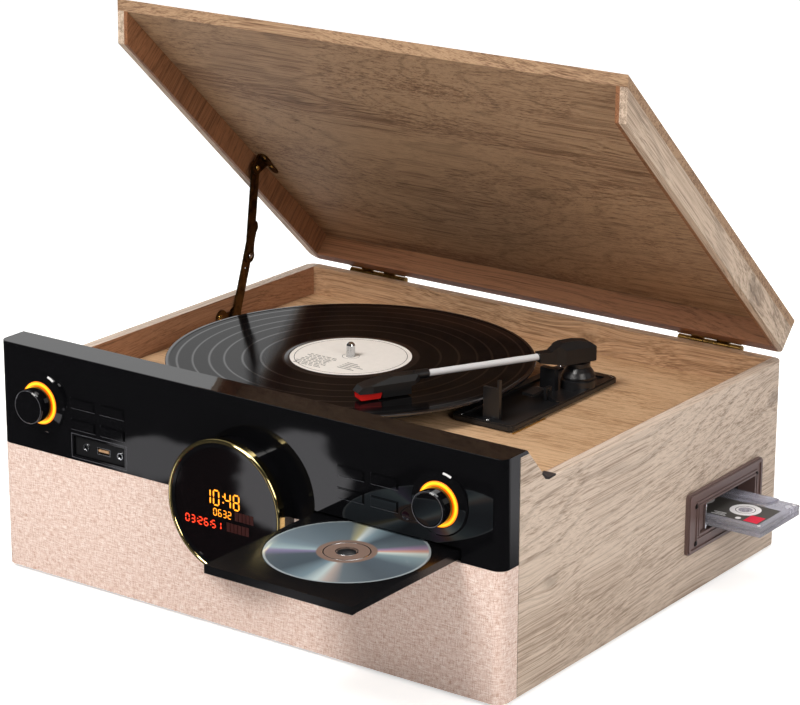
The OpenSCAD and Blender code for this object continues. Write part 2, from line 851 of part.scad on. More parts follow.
// A form given by its outline seen from the side, its section and its plan, along the arm
module arm_form(side, section, plan) {
    reach = arm_len + housing_back_l + 10;
    intersection() {
        translate([0, 50, tube_z]) rotate([90, 0, 0]) linear_extrude(100) polygon(side);
        translate([-housing_back_l - 5, 0, tube_z]) rotate([90, 0, 90]) linear_extrude(reach) polygon(section);
        translate([0, 0, tube_z - 50]) linear_extrude(100) polygon(plan);
    }
}

// Faceted housing behind the pivot with its weight; it turns on its own cross pin in the turret
module counterweight() {
    slot_w = tongue_w + 2 * tongue_gap;
    w = housing_w / 2;
    top_w = housing_top_w / 2;
    n = neck_w / 2;
    color("#1b1b1d") placed() in_arm_frame() {
        difference() {
            arm_form(
                [[-housing_back_l, -7.2], [20, -8], [neck_end - 1, -4.6], [neck_end, 3.6], [27, 3.4], [22, 7.2],
                 [17.5, 10], [4.6, 10.4], [-7.6, 7.8], [-housing_back_l, 5]],
                [[-w, -9], [w, -9], [w, 4.4], [top_w, 10.5], [-top_w, 10.5], [-w, 4.4]],
                [[-housing_back_l, -w], [housing_front_l, -w], [23, -n - 1], [neck_end, -n], [neck_end, n],
                 [23, n + 1], [housing_front_l, w], [-housing_back_l, w]]);
            translate([-6, -slot_w / 2, tube_z - 9]) cube([12, slot_w, 14.5]);
            arm_tube_bar();
        }
        translate([0, -slot_w / 2 - 1, tube_z]) rotate([-90, 0, 0]) cylinder(r = arm_pin_r, h = slot_w + 2);
    }
}

module arm_tube() {
    color("#d4d6d8") placed() in_arm_frame() arm_tube_bar();
}

// Wedge with the cartridge's body below it and a finger lift on its far side
module headshell() {
    w = shell_w / 2;
    top_w = shell_top_w / 2;
    body = arm_len - 48;
    guard = arm_len - 21;
    color("#141415") placed() in_arm_frame() difference() {
        union() {
            rod_x(0, tube_z, tube_r + 1.2, shell_start, shell_start + 12);
            arm_form(
                [[shell_start + 9, -3.4], [shell_start + 10, 2.6], [arm_len - 30, 3], [arm_len - 4, -2.6],
                 [arm_len, -6.4], [arm_len - 1.4, -8], [guard, -7.6], [body + 8, -7.6], [body, -5]],
                [[-w, -8.5], [w, -8.5], [w, -2], [top_w, 3.2], [-top_w, 3.2], [-w, -2]],
                [[shell_start + 9, -top_w], [body, -w], [arm_len - 12, -w], [arm_len, -w + 2.5],
                 [arm_len, w - 2.5], [arm_len - 12, w], [body, w], [shell_start + 9, top_w]]);
            span([body + 2, -5.2, tube_z + cartridge_low], [guard, 5.2, tube_z - 6]);
            translate([arm_len - 41, -w + 1, tube_z - 3]) rotate([25, 0, 0]) translate([0, -9, 0]) cube([3, 9, 1.2]);
        }
        translate([shell_start - 1, 0, tube_z]) rotate([0, 90, 0]) cylinder(r = tube_r, h = 5);
    }
}

module cartridge() {
    color("#e02a24") placed() in_arm_frame() {
        translate([0, 4.8, tube_z]) rotate([90, 0, 0]) linear_extrude(9.6)
            polygon([[arm_len - 21, -7.6], [arm_len - 1.4, -8], [arm_len - 1.8, cartridge_low + 1],
                     [arm_len - 3, cartridge_low], [arm_len - 19.4, cartridge_low]]);
        translate([arm_len - 8, 0, record_top + 0.3]) cylinder(r1 = 0.3, r2 = 0.8, h = 2);
    }
}

module cue_lever() {
    color("#1b1b1d") placed() {
        rod_x(cue_y, deck_h + cue_h, cue_pin_r, cue_x - 11, cue_x + 2.4);
        span([cue_x - 12, cue_y - 18, deck_h + cue_h - 1], [cue_x - 1.6, cue_y + 1, deck_h + cue_h + 1]);
    }
}

/* Inside */
magnet_r = 26;
speaker_d = 34;
stand_h = 4;
main_board = [-90, 60, 60, 200];
rear_board = [-210, rear_y - 154, -100, rear_y - 44];

module circuit_boards() {
    color("#2f6b3c") placed() {
        for (x = [[button_x[0], button_x[1]], [button_x[2], button_x[3]]])
            span([x[0] - button_w / 2 - 1, board_y - pcb_t, button_low_z - 6.5],
                 [x[1] + button_w / 2 + 2, board_y, button_top_z + 6]);
        for (b = [main_board, rear_board]) {
            span([b[0], b[1], board_t + stand_h], [b[2], b[3], board_t + stand_h + pcb_t]);
            for (x = [b[0] + 4, b[2] - 4]) for (y = [b[1] + 4, b[3] - 4])
                translate([x, y, board_t]) cylinder(r = 3, h = stand_h);
        }
    }
}

module speakers() {
    color("#3b3c40") placed() for (side = [-1, 1]) translate([side * speaker_x, 0, speaker_z]) rotate([-90, 0, 0])
        rotate_extrude() polygon([[0, 16], [10, 16], [speaker_r - 6, 4], [speaker_r - 4, 0], [speaker_r + 5, 0],
                                  [speaker_r + 5, 2], [speaker_r - 3, 3], [20, 20], [magnet_r, 20],
                                  [magnet_r, speaker_d], [0, speaker_d]]);
}

module terminal_panel() {
    color("#161617") placed() difference() {
        span([terminal_x0 - terminal_lap, side_d, terminal_z0 - terminal_lap],
             [terminal_x1 + terminal_lap, side_d + 2, terminal_z1 + terminal_lap]);
        for (x = phono_x) rod_y(x, terminal_z, phono_r, side_d - 1, side_d + 3);
        rod_y(inlet_x, terminal_z, inlet_r, side_d - 1, side_d + 3);
    }
}

module rear_sockets() {
    color("#c9c3b4") placed() {
        for (x = phono_x) difference() {
            rod_y(x, terminal_z, phono_r, side_d - 8, side_d + 9);
            rod_y(x, terminal_z, 1.6, side_d, side_d + 10);
        }
        difference() {
            rod_y(inlet_x, terminal_z, inlet_r, side_d - 9, side_d + 2);
            rod_y(inlet_x, terminal_z, 2.75, side_d - 7, side_d + 3);
        }
    }
}

module feet() {
    inset = 30;
    color("#1d1d1f") placed() for (x = [-half_w + inset, half_w - inset]) for (y = [inset, side_d - inset])
        translate([x, y, -foot_h]) cylinder(r1 = foot_r - 0.5, r2 = foot_r, h = foot_h);
}

/* Lid */
module lid_slope(z) {
    polygon([[lid_foot_y - (z[0] - lid_z) * slant, z[0]], [side_d, z[0]], [side_d, z[1]],
             [lid_foot_y - (z[1] - lid_z) * slant, z[1]]]);
}

module lid_solid(x0, x1, z0, z1) {
    intersection() {
        along_x(x0, x1) lid_slope([z0, z1]);
        linear_extrude(lid_top_z + 1) rear_plan();
    }
}

module lid_top() {
    color("#b39a80") placed() lid_open() lid_solid(-half_w, half_w, lid_ceiling, lid_top_z);
}

module lid_walls() {
    color("#a98f74") placed() lid_open() {
        lid_solid(-half_w, -inner_x, lid_z, lid_ceiling);
        lid_solid(inner_x, half_w, lid_z, lid_ceiling);
        span([-inner_x, rear_y, lid_z], [inner_x, side_d, lid_ceiling]);
    }
}

// Knuckles of one leaf: parity 0 takes the even ones, 1 the odd ones
module knuckle_row(x, parity, bore) {
    step = hinge_l / knuckles;
    web_z = parity == 0 ? hinge_z - barrel_r : hinge_z + barrel_r - leaf_t;
    for (i = [0 : knuckles - 1]) if (i % 2 == parity) {
        x0 = x - hinge_l / 2 + i * step + knuckle_gap;
        x1 = x - hinge_l / 2 + (i + 1) * step - knuckle_gap;
        difference() {
            union() {
                rod_x(hinge_y, hinge_z, barrel_r, x0, x1);
                span([x0, side_d, web_z], [x1, hinge_y, web_z + leaf_t]);
            }
            rod_x(hinge_y, hinge_z, bore, x0 - 1, x1 + 1);
        }
    }
}

module hinge_leaves_lower() {
    color("#8a6a3c") placed() for (x = [-hinge_x, hinge_x]) {
        knuckle_row(x, 0, pin_r);
        rod_x(hinge_y, hinge_z, pin_r, x - hinge_l / 2, x + hinge_l / 2);
        span([x - hinge_l / 2, side_d, hinge_z - barrel_r - leaf_h + leaf_t],
             [x + hinge_l / 2, side_d + leaf_t, hinge_z - barrel_r + leaf_t]);
    }
}

module hinge_leaves_upper() {
    color("#8a6a3c") placed() lid_open() for (x = [-hinge_x, hinge_x]) {
        knuckle_row(x, 1, pin_r + pin_gap);
        span([x - hinge_l / 2, side_d, hinge_z + barrel_r - leaf_t],
             [x + hinge_l / 2, side_d + leaf_t, hinge_z + barrel_r - leaf_t + leaf_h]);
    }
}

// A flat arm between two points, with wider round ends
module arm_bar(a, b, x0) {
    along_x(x0, x0 + stay_t) union() {
        translate(a) circle(r = stay_end_r);
        translate(b) circle(r = stay_end_r);
        translate(a) rotate(atan2(b[1] - a[1], b[0] - a[0])) translate([0, -stay_w / 2])
            square([norm(b - a), stay_w]);
    }
}

// A point on the line from a to b, beyond b by a distance
function beyond(a, b, d) = b + (b - a) * d / norm(b - a);

// The lower arm runs on past the elbow as a tail
module stay_arm_lower() {
    x0 = stay_x + stay_plane_gap;
    eye = beyond(stay_low, stay_elbow, -11);
    color("#4a3a22") placed() difference() {
        arm_bar(stay_low, beyond(stay_low, stay_elbow, stay_tail), x0);
        rod_x(stay_low[0], stay_low[1], stay_pin_r + pin_gap, x0 - 1, x0 + 5);
        rod_x(eye[0], eye[1], 1.3, x0 - 1, x0 + 5);
    }
}

// The upper arm carries the elbow's rivet head
module stay_arm_upper() {
    x0 = stay_x + 2 * stay_plane_gap + stay_t;
    color("#4a3a22") placed() difference() {
        union() {
            arm_bar(stay_elbow, stay_high, x0);
            rod_x(stay_elbow[0], stay_elbow[1], stay_pin_r + 0.7, x0 + stay_t, x0 + stay_t + 0.8);
        }
        rod_x(stay_high[0], stay_high[1], stay_pin_r + pin_gap, x0 - 1, x0 + 5);
    }
}

module stay_bracket_lower() {
    lobe_r = 7;
    gap = 18;
    color("#5a4526") placed() {
        along_x(-inner_x, -inner_x + stay_plate_t) union() {
            translate([stay_low[0] - gap, stay_low[1] - 3]) square([gap, 7]);
            translate(stay_low) circle(r = lobe_r);
            translate([stay_low[0] - gap, stay_low[1] + 1]) circle(r = lobe_r);
        }
        rod_x(stay_low[0], stay_low[1], stay_pin_r, -inner_x, stay_x + stay_plane_gap + stay_t + 0.2);
    }
}

function closed_point(p) = [
    hinge_y + (p[0] - hinge_y) * cos(lid_angle) - (p[1] - hinge_z) * sin(lid_angle),
    hinge_z + (p[0] - hinge_y) * sin(lid_angle) + (p[1] - hinge_z) * cos(lid_angle)];

// A web with the pin, on a long drop-shaped flange under the lid's top
module stay_bracket_upper() {
    p = closed_point(stay_high);
    x0 = stay_x + 3 * stay_plane_gap + 2 * stay_t;
    color("#5a4526") placed() lid_open() {
        translate([x0, 0, lid_ceiling - stay_plate_t]) linear_extrude(stay_plate_t) hull() {
            translate([4.5, p[0] - 3]) circle(r = 4.5);
            translate([3, p[0] + 21]) circle(r = 3);
        }
        along_x(x0, x0 + stay_plate_t) hull() {
            translate(p) circle(r = stay_end_r);
            translate([p[0] - 6, lid_ceiling - 1]) square([17, 1]);
        }
        rod_x(p[0], p[1], stay_pin_r, x0 - stay_plane_gap - stay_t - 0.1, x0 + stay_plate_t + 0.6);
    }
}

side_panel_left();
side_panel_right();
rear_panel();
bottom_panel();
deck_panel();
front_baffle();
grille_cloth();
fascia();
display_housing();
display_ring();
display_lens();
knob_dishes();
light_rings();
jack_panel();
front_sockets();
cassette_bezel();
cassette_mechanism();
cd_loader();
platter_bearing();
drive_motor();
drive_belt();
circuit_boards();
speakers();
terminal_panel();
rear_sockets();
feet();
hinge_leaves_lower();
stay_bracket_lower();
arm_base();
platter();
slipmat();
spindle();
record();
motor_pulley();
arm_turret();
arm_tube();
headshell();
cartridge();
counterweight();
cue_lever();
source_knob();
volume_knob();
button_1();
button_2();
button_3();
button_4();
button_5();
button_6();
button_7();
button_8();
cd_tray();
disc();
cassette();
eject_button();
lid_top();
lid_walls();
hinge_leaves_upper();
stay_bracket_upper();
stay_arm_upper();
stay_arm_lower();
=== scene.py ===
"""A wooden music centre: record deck, disc tray, radio and cassette in one cabinet.

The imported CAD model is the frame.  Lengths written as plain numbers are millimetres in the
cabinet's own frame, x to the right, y to the back from the side panels' front edge and z up
from the cabinet's underside; at() turns them into the frame's metres.
"""
import math
import random

import bmesh
import bpy
from mathutils import Matrix, Vector


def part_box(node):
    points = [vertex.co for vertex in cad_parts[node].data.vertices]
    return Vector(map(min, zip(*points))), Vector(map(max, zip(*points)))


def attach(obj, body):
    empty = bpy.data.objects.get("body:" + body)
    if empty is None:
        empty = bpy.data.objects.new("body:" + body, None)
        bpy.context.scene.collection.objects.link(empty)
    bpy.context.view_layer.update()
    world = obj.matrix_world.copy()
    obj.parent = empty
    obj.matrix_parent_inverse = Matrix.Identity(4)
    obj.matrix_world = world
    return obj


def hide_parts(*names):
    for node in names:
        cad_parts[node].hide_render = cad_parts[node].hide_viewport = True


MM = 0.001
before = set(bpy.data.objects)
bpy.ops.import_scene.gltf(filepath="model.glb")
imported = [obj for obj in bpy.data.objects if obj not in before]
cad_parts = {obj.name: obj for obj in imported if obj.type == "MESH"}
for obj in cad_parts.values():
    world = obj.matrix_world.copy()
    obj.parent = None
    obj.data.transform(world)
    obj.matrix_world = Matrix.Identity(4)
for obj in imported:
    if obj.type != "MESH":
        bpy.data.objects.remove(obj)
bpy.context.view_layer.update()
ORIGIN = Vector(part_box("side_panel_left")[0]) - Vector((-240, 0, 0)) * MM


def at(x, y, z):
    """A point of the cabinet's frame, in millimetres, as a place in metres."""
    return ORIGIN + Vector((x, y, z)) * MM


def low(node):
    return (Vector(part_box(node)[0]) - ORIGIN) / MM


def high(node):
    return (Vector(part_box(node)[1]) - ORIGIN) / MM


FACE_Y = -21
SPINDLE = (-55, 195, 0)
DISC = (138, -68.3, 0)
KNOB_X = {"source_knob": -196, "volume_knob": 185.5}
KNOB_Z = 144
LID_ANGLE = math.radians(42.8)
HINGE = (0, 389, 157)


def lid_point(x, y, z):
    """A point given with the lid closed, turned open with it."""
    y, z = y - HINGE[1], z - HINGE[2]
    return (x, HINGE[1] + y * math.cos(LID_ANGLE) + z * math.sin(LID_ANGLE),
            HINGE[2] - y * math.sin(LID_ANGLE) + z * math.cos(LID_ANGLE))


# ---------------------------------------------------------------- camera, lamps, floor
CAMERA_AZIMUTH = math.radians(35.4)
CAMERA_ELEVATION = math.radians(17.6)
CAMERA_ROLL = math.radians(0.3)
CAMERA_PLACE = (1305.93, -1625.03, 877.40)
FOCAL_PIXELS = 2931.4
IMAGE_WIDTH = 800
CENTRE_PIXEL = (418.5, 352.2)
IMAGE_CENTRE = (400.0, 352.5)
SENSOR = 36.0


def make_camera():
    """The camera of the photograph, from the fit to the cabinet's edges."""
    az, el, roll = CAMERA_AZIMUTH, CAMERA_ELEVATION, CAMERA_ROLL
    back = Vector((math.sin(az) * math.cos(el), -math.cos(az) * math.cos(el), math.sin(el)))
    right = Vector((math.cos(az), math.sin(az), 0))
    up = back.cross(right)
    right, up = (math.cos(roll) * right + math.sin(roll) * up,
                 math.cos(roll) * up - math.sin(roll) * right)
    data = bpy.data.cameras.new("camera")
    data.sensor_width = SENSOR
    data.lens = FOCAL_PIXELS * SENSOR / IMAGE_WIDTH
    data.shift_x = (IMAGE_CENTRE[0] - CENTRE_PIXEL[0]) / IMAGE_WIDTH
    data.shift_y = (CENTRE_PIXEL[1] - IMAGE_CENTRE[1]) / IMAGE_WIDTH
    data.clip_start = 0.05
    data.clip_end = 50
    camera = bpy.data.objects.new("camera", data)
    turn = Matrix((right, up, back)).transposed()
    camera.matrix_world = Matrix.Translation(at(*CAMERA_PLACE)) @ turn.to_4x4()
    bpy.context.scene.collection.objects.link(camera)
    bpy.context.scene.camera = camera


def linear(code):
    """An sRGB hex colour as linear RGBA."""
    parts = [int(code[i:i + 2], 16) / 255 for i in (1, 3, 5)]
    return [p / 12.92 if p <= 0.04045 else ((p + 0.055) / 1.055) ** 2.4 for p in parts] + [1.0]


def add(tree, kind, inputs=None, ramp=None, **settings):
    """One node with its settings; an input takes a value or the socket that feeds it."""
    new = tree.nodes.new(kind)
    for name, value in settings.items():
        setattr(new, name, value)
    for key, value in (inputs or {}).items():
        if isinstance(value, bpy.types.NodeSocket):
            tree.links.new(value, new.inputs[key])
        else:
            new.inputs[key].default_value = value
    if ramp:
        stops = new.color_ramp.elements
        while len(stops) < len(ramp):
            stops.new(0.5)
        for stop, (place, colour) in zip(stops, ramp):
            stop.position = place
            stop.color = linear(colour) if isinstance(colour, str) else (colour, colour, colour, 1)
    return new


def start_material(name, inputs=None):
    """A material with its shader, and a Texture Coordinate's object output."""
    material = bpy.data.materials.new(name)
    material.use_nodes = True
    tree = material.node_tree
    tree.nodes.clear()
    shader = add(tree, "ShaderNodeBsdfPrincipled", inputs)
    add(tree, "ShaderNodeOutputMaterial", {"Surface": shader.outputs[0]})
    return material, tree, shader, add(tree, "ShaderNodeTexCoord").outputs["Object"]


def soft_lamp(name, place, target, size, watts, colour="#FFFFFF"):
    data = bpy.data.lights.new(name, "AREA")
    data.shape = "RECTANGLE"
    data.size, data.size_y = size
    data.energy = watts
    data.color = linear(colour)[:3]
    lamp = bpy.data.objects.new(name, data)
    direction = at(*target) - at(*place)
    lamp.matrix_world = Matrix.Translation(at(*place)) @ direction.to_track_quat("-Z", "Y").to_matrix().to_4x4()
    bpy.context.scene.collection.objects.link(lamp)


def make_studio():
    """A white sheet in a dark studio: bright behind the object, a key lamp and two weaker ones.

    Only glossy rays see the dark room and the lit patches on the floor; the camera sees white.
    """
    scene = bpy.context.scene
    scene.view_settings.view_transform = "Standard"
    world = bpy.data.worlds.new("tent")
    scene.world = world
    world.use_nodes = True
    tree = world.node_tree
    tree.nodes.clear()
    ray = add(tree, "ShaderNodeLightPath")
    seen = add(tree, "ShaderNodeMath", {0: ray.outputs["Is Camera Ray"], 1: ray.outputs["Is Transmission Ray"]},
               operation="MAXIMUM")
    # gloss sees the white wall behind the object and a dark room before and above it
    way = add(tree, "ShaderNodeSeparateXYZ", {0: add(tree, "ShaderNodeTexCoord").outputs["Generated"]})
    wall = add(tree, "ShaderNodeMapRange", {"Value": way.outputs[1], "From Min": 0.1, "From Max": 0.45,
                                            "To Min": ROOM_GLOSS, "To Max": WALL_GLOSS},
               interpolation_type="SMOOTHSTEP")
    gloss = add(tree, "ShaderNodeMath", {0: ray.outputs["Is Glossy Ray"], 1: wall.outputs[0]}, operation="MULTIPLY")
    diffuse = add(tree, "ShaderNodeMath", {0: ray.outputs["Is Diffuse Ray"], 1: AMBIENT}, operation="MULTIPLY")
    shown = add(tree, "ShaderNodeMath", {0: seen.outputs[0], 1: gloss.outputs[0]}, operation="MAXIMUM")
    strength = add(tree, "ShaderNodeMath", {0: shown.outputs[0], 1: diffuse.outputs[0]}, operation="MAXIMUM")
    background = add(tree, "ShaderNodeBackground", {"Color": linear("#FFFFFF"), "Strength": strength.outputs[0]})
    add(tree, "ShaderNodeOutputWorld", {"Surface": background.outputs[0]})

    mesh = bpy.data.meshes.new("floor")
    bm = bmesh.new()
    bmesh.ops.create_grid(bm, x_segments=1, y_segments=1, size=6)
    bm.to_mesh(mesh)
    bm.free()
    floor = bpy.data.objects.new("floor", mesh)
    floor.location = (0, 0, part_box("feet")[0][2])
    scene.collection.objects.link(floor)
    # matt white sheet, lit to white for the camera except in the object's own shadow
    material, tree, shader, place = start_material("white_paper_sheet", {
        "Base Color": linear("#E9E8E6"), "Roughness": 0.9, "Specular IOR Level": 0.1})
    ray = add(tree, "ShaderNodeLightPath")
    lit = add(tree, "ShaderNodeMath", {0: ray.outputs["Is Camera Ray"], 1: FLOOR_LIFT}, operation="MULTIPLY")
    glow = add(tree, "ShaderNodeEmission", {"Color": linear("#FFFFFF"), "Strength": lit.outputs[0]})
    both = add(tree, "ShaderNodeAddShader", {0: shader.outputs[0], 1: glow.outputs[0]})
    # gloss sees a dark floor before the object, with three lit patches, and the white sheet behind it
    parts = add(tree, "ShaderNodeSeparateXYZ", {0: place})
    sheet = add(tree, "ShaderNodeMapRange", {"Value": parts.outputs[1], "From Min": 0.02, "From Max": 0.22,
                                             "To Min": 0.05, "To Max": 0.8}, interpolation_type="SMOOTHSTEP").outputs[0]
    wave = add(tree, "ShaderNodeTexNoise", {"Vector": place, "Scale": 22.0, "Detail": 1.0}).outputs["Color"]
    for x, y, angle, half_x, half_y, level in FLOOR_PATCHES:
        away = add(tree, "ShaderNodeVectorMath", {0: place, 1: at(x, y, 0) * Vector((1, 1, 0))},
                   operation="SUBTRACT").outputs[0]
        turned = add(tree, "ShaderNodeVectorRotate", {"Vector": away, "Angle": math.radians(-angle)},
                     rotation_type="Z_AXIS").outputs[0]
        flat = add(tree, "ShaderNodeVectorMath", {0: turned, 1: (1 / half_x, 1 / half_y, 0)},
                   operation="MULTIPLY").outputs[0]
        bent = add(tree, "ShaderNodeVectorMath", {0: wave, 1: (0.6, 0.6, 0), 2: flat},
                   operation="MULTIPLY_ADD").outputs[0]
        bent = add(tree, "ShaderNodeVectorMath", {0: bent, 1: (0.3, 0.3, 0)}, operation="SUBTRACT").outputs[0]
        reach = add(tree, "ShaderNodeVectorMath", {0: bent}, operation="LENGTH").outputs["Value"]
        patch = add(tree, "ShaderNodeMapRange", {"Value": reach, "From Min": 0.8, "From Max": 1.1, "To Min": level,
                                                 "To Max": 0.0}, interpolation_type="SMOOTHSTEP").outputs[0]
        sheet = add(tree, "ShaderNodeMath", {0: sheet, 1: patch}, operation="MAXIMUM").outputs[0]
    mirrored = add(tree, "ShaderNodeEmission", {"Color": linear("#F4F2F6"), "Strength": sheet})
    mixed = add(tree, "ShaderNodeMixShader", {0: ray.outputs["Is Glossy Ray"], 1: both.outputs[0],
                                              2: mirrored.outputs[0]})
    out = next(n for n in tree.nodes if n.bl_idname == "ShaderNodeOutputMaterial")
    tree.links.new(mixed.outputs[0], out.inputs["Surface"])
    mesh.materials.append(material)

    soft_lamp("key_lamp", (-350, -1500, 2100), (0, 60, 80), (1.0, 0.8), KEY_WATTS, "#FFFCF8")
    soft_lamp("top_lamp", (300, 500, 2300), (60, 200, 100), (1.4, 1.0), TOP_WATTS)
    soft_lamp("side_lamp", (2300, -900, 1300), (150, 150, 120), (1.2, 1.2), SIDE_WATTS, "#FFFAF4")


AMBIENT = 0.36
FLOOR_LIFT = 0.6
ROOM_GLOSS = 0.03
WALL_GLOSS = 0.85
KEY_WATTS = 52
TOP_WATTS = 20
SIDE_WATTS = 26
# lit patches that the front's gloss shows: middle, turn, half sizes in metres and strength
FLOOR_PATCHES = [(-178, -335, 46, 0.125, 0.036, 1.5), (-308, -285, 30, 0.062, 0.045, 1.2),
                 (0, -325, 70, 0.075, 0.036, 0.8)]

make_camera()
make_studio()

# ---------------------------------------------------------------- materials
def oak_veneer(name, dark, mid, light, along, knots=(), shift=(0, 0, 0), inner=None, depth=1.0):
    """Limed oak veneer on board: flowing figure, a dark line a year, dashed pores and a few knots.

    along is the grain's axis, or "lid wall" for the lid's walls. A knot is its centre and radius in metres.
    inner is a plane normal, its limit in metres and a darker, warmer tint for the faces inside that limit: painted
    shade and warm bounce light on the inside faces.
    Satin, so it gives only a broad soft sheen.
    """
    material, tree, shader, place = start_material(name, {"Roughness": 0.5, "Specular IOR Level": 0.3})
    turn = {"x": Matrix.Identity(3), "y": Matrix.Rotation(math.radians(90), 3, "Z"),
            "z": Matrix.Rotation(math.radians(90), 3, "Y")}
    lid = Matrix.Rotation(LID_ANGLE, 3, "X")
    turn["lid wall"] = turn["y"] @ lid
    lay = add(tree, "ShaderNodeMapping", {"Vector": place, "Rotation": tuple(turn[along].to_euler()),
                                          "Location": shift}).outputs[0]
    if along == "lid wall":
        # the lid's outer sides run front to back, their inner faces upright, the walls between them across
        across = add(tree, "ShaderNodeSeparateXYZ", {0: place}).outputs[0]
        inward = add(tree, "ShaderNodeMath", {0: across, 1: at(0, 0, 0).x}, operation="SUBTRACT").outputs[0]
        inward = add(tree, "ShaderNodeMath", {0: inward}, operation="ABSOLUTE").outputs[0]
        for limit, axis in ((0.2335, "z"), (0.229, "x")):
            cross = add(tree, "ShaderNodeMapping", {"Vector": place, "Rotation": tuple((turn[axis] @ lid).to_euler()),
                                                    "Location": shift}).outputs[0]
            past = add(tree, "ShaderNodeMath", {0: inward, 1: limit}, operation="LESS_THAN").outputs[0]
            lay = add(tree, "ShaderNodeMix", {0: past, 4: lay, 5: cross}, data_type="VECTOR").outputs[1]
    turn = turn[along]
    flow = lay
    shade = None
    for centre, radius in knots:
        middle = turn @ Vector(centre) + Vector(shift)
        away = add(tree, "ShaderNodeVectorMath", {0: lay, 1: middle}, operation="SUBTRACT").outputs[0]
        flat = add(tree, "ShaderNodeVectorMath", {0: away, 1: (0.5 / radius, 1 / radius, 1 / radius)},
                   operation="MULTIPLY").outputs[0]
        far = add(tree, "ShaderNodeVectorMath", {0: flat}, operation="LENGTH").outputs["Value"]
        near = add(tree, "ShaderNodeMapRange", {"Value": far, "From Min": 0.0, "From Max": 3.6, "To Min": 1.0,
                                                "To Max": 0.0}, interpolation_type="SMOOTHSTEP").outputs[0]
        push = add(tree, "ShaderNodeVectorMath", {0: away, "Scale": near}, operation="SCALE").outputs[0]
        push = add(tree, "ShaderNodeVectorMath", {0: push, 1: (0.0, -0.7, -0.7)}, operation="MULTIPLY").outputs[0]
        flow = add(tree, "ShaderNodeVectorMath", {0: flow, 1: push}, operation="ADD").outputs[0]
        rough = add(tree, "ShaderNodeTexNoise", {"Vector": lay, "Scale": 170.0, "Detail": 3.0}).outputs["Fac"]
        ragged = add(tree, "ShaderNodeMath", {0: rough, 1: 1.3, 2: far}, operation="MULTIPLY_ADD").outputs[0]
        core = add(tree, "ShaderNodeMapRange", {"Value": ragged, "From Min": 0.75, "From Max": 2.1, "To Min": 1.0,
                                                "To Max": 0.0}, interpolation_type="SMOOTHSTEP").outputs[0]
        shade = core if shade is None else add(tree, "ShaderNodeMath", {0: shade, 1: core},
                                               operation="MAXIMUM").outputs[0]
    # the grain wanders about 15 mm over 180 to 400 mm, and 1 mm over 50 mm
    cone = add(tree, "ShaderNodeVectorMath", {0: flow, 1: (2.4, 5.5, 5.5)}, operation="MULTIPLY").outputs[0]
    swell = add(tree, "ShaderNodeTexNoise", {"Vector": cone, "Scale": 1.0, "Detail": 0.0}).outputs["Fac"]
    lift = add(tree, "ShaderNodeMath", {0: swell, 1: 0.085, 2: -0.04}, operation="MULTIPLY_ADD").outputs[0]
    bend = add(tree, "ShaderNodeVectorMath", {0: flow, 1: (17, 34, 34)}, operation="MULTIPLY").outputs[0]
    ripple = add(tree, "ShaderNodeTexNoise", {"Vector": bend, "Scale": 1.0, "Detail": 0.0}).outputs["Fac"]
    lift = add(tree, "ShaderNodeMath", {0: ripple, 1: 0.0045, 2: lift}, operation="MULTIPLY_ADD").outputs[0]
    rise = add(tree, "ShaderNodeCombineXYZ", {1: lift, 2: lift}).outputs[0]
    grain = add(tree, "ShaderNodeVectorMath", {0: flow, 1: rise}, operation="ADD").outputs[0]
    # growth lines: 2.5 mm apart, and finer ones of 0.7 mm between them
    wide = add(tree, "ShaderNodeVectorMath", {0: grain, 1: (1.6, 400, 400)}, operation="MULTIPLY").outputs[0]
    growth = add(tree, "ShaderNodeTexNoise", {"Vector": wide, "Scale": 1.0, "Detail": 1.0,
                                              "Roughness": 0.6}).outputs["Fac"]
    thin = add(tree, "ShaderNodeVectorMath", {0: grain, 1: (4, 1500, 1500)}, operation="MULTIPLY").outputs[0]
    lines = add(tree, "ShaderNodeTexNoise", {"Vector": thin, "Scale": 1.0, "Detail": 2.0,
                                             "Roughness": 0.6}).outputs["Fac"]
    # pores: real ones are 0.2 mm wide, too fine to show, so they are 0.5 mm dashes of 12 mm
    fine = add(tree, "ShaderNodeVectorMath", {0: grain, 1: (85, 1900, 1900)}, operation="MULTIPLY").outputs[0]
    pores = add(tree, "ShaderNodeTexNoise", {"Vector": fine, "Scale": 1.0, "Detail": 1.0,
                                             "Roughness": 0.6}).outputs["Fac"]
    crowd = add(tree, "ShaderNodeMath", {0: growth, 1: -0.45, 2: pores}, operation="MULTIPLY_ADD").outputs[0]
    dots = add(tree, "ShaderNodeMapRange", {"Value": crowd, "From Min": 0.32, "From Max": 0.46, "To Min": 0.0,
                                            "To Max": 1.0}).outputs[0]
    zone = add(tree, "ShaderNodeVectorMath", {0: grain, 1: (3, 26, 26)}, operation="MULTIPLY").outputs[0]
    cloud = add(tree, "ShaderNodeTexNoise", {"Vector": zone, "Scale": 1.0, "Detail": 1.0}).outputs["Fac"]
    tone = add(tree, "ShaderNodeMath", {0: growth, 1: 0.34, 2: 0.0}, operation="MULTIPLY_ADD").outputs[0]
    tone = add(tree, "ShaderNodeMath", {0: lines, 1: 0.62, 2: tone}, operation="MULTIPLY_ADD").outputs[0]
    tone = add(tree, "ShaderNodeMath", {0: cloud, 1: 0.26, 2: tone}, operation="MULTIPLY_ADD").outputs[0]
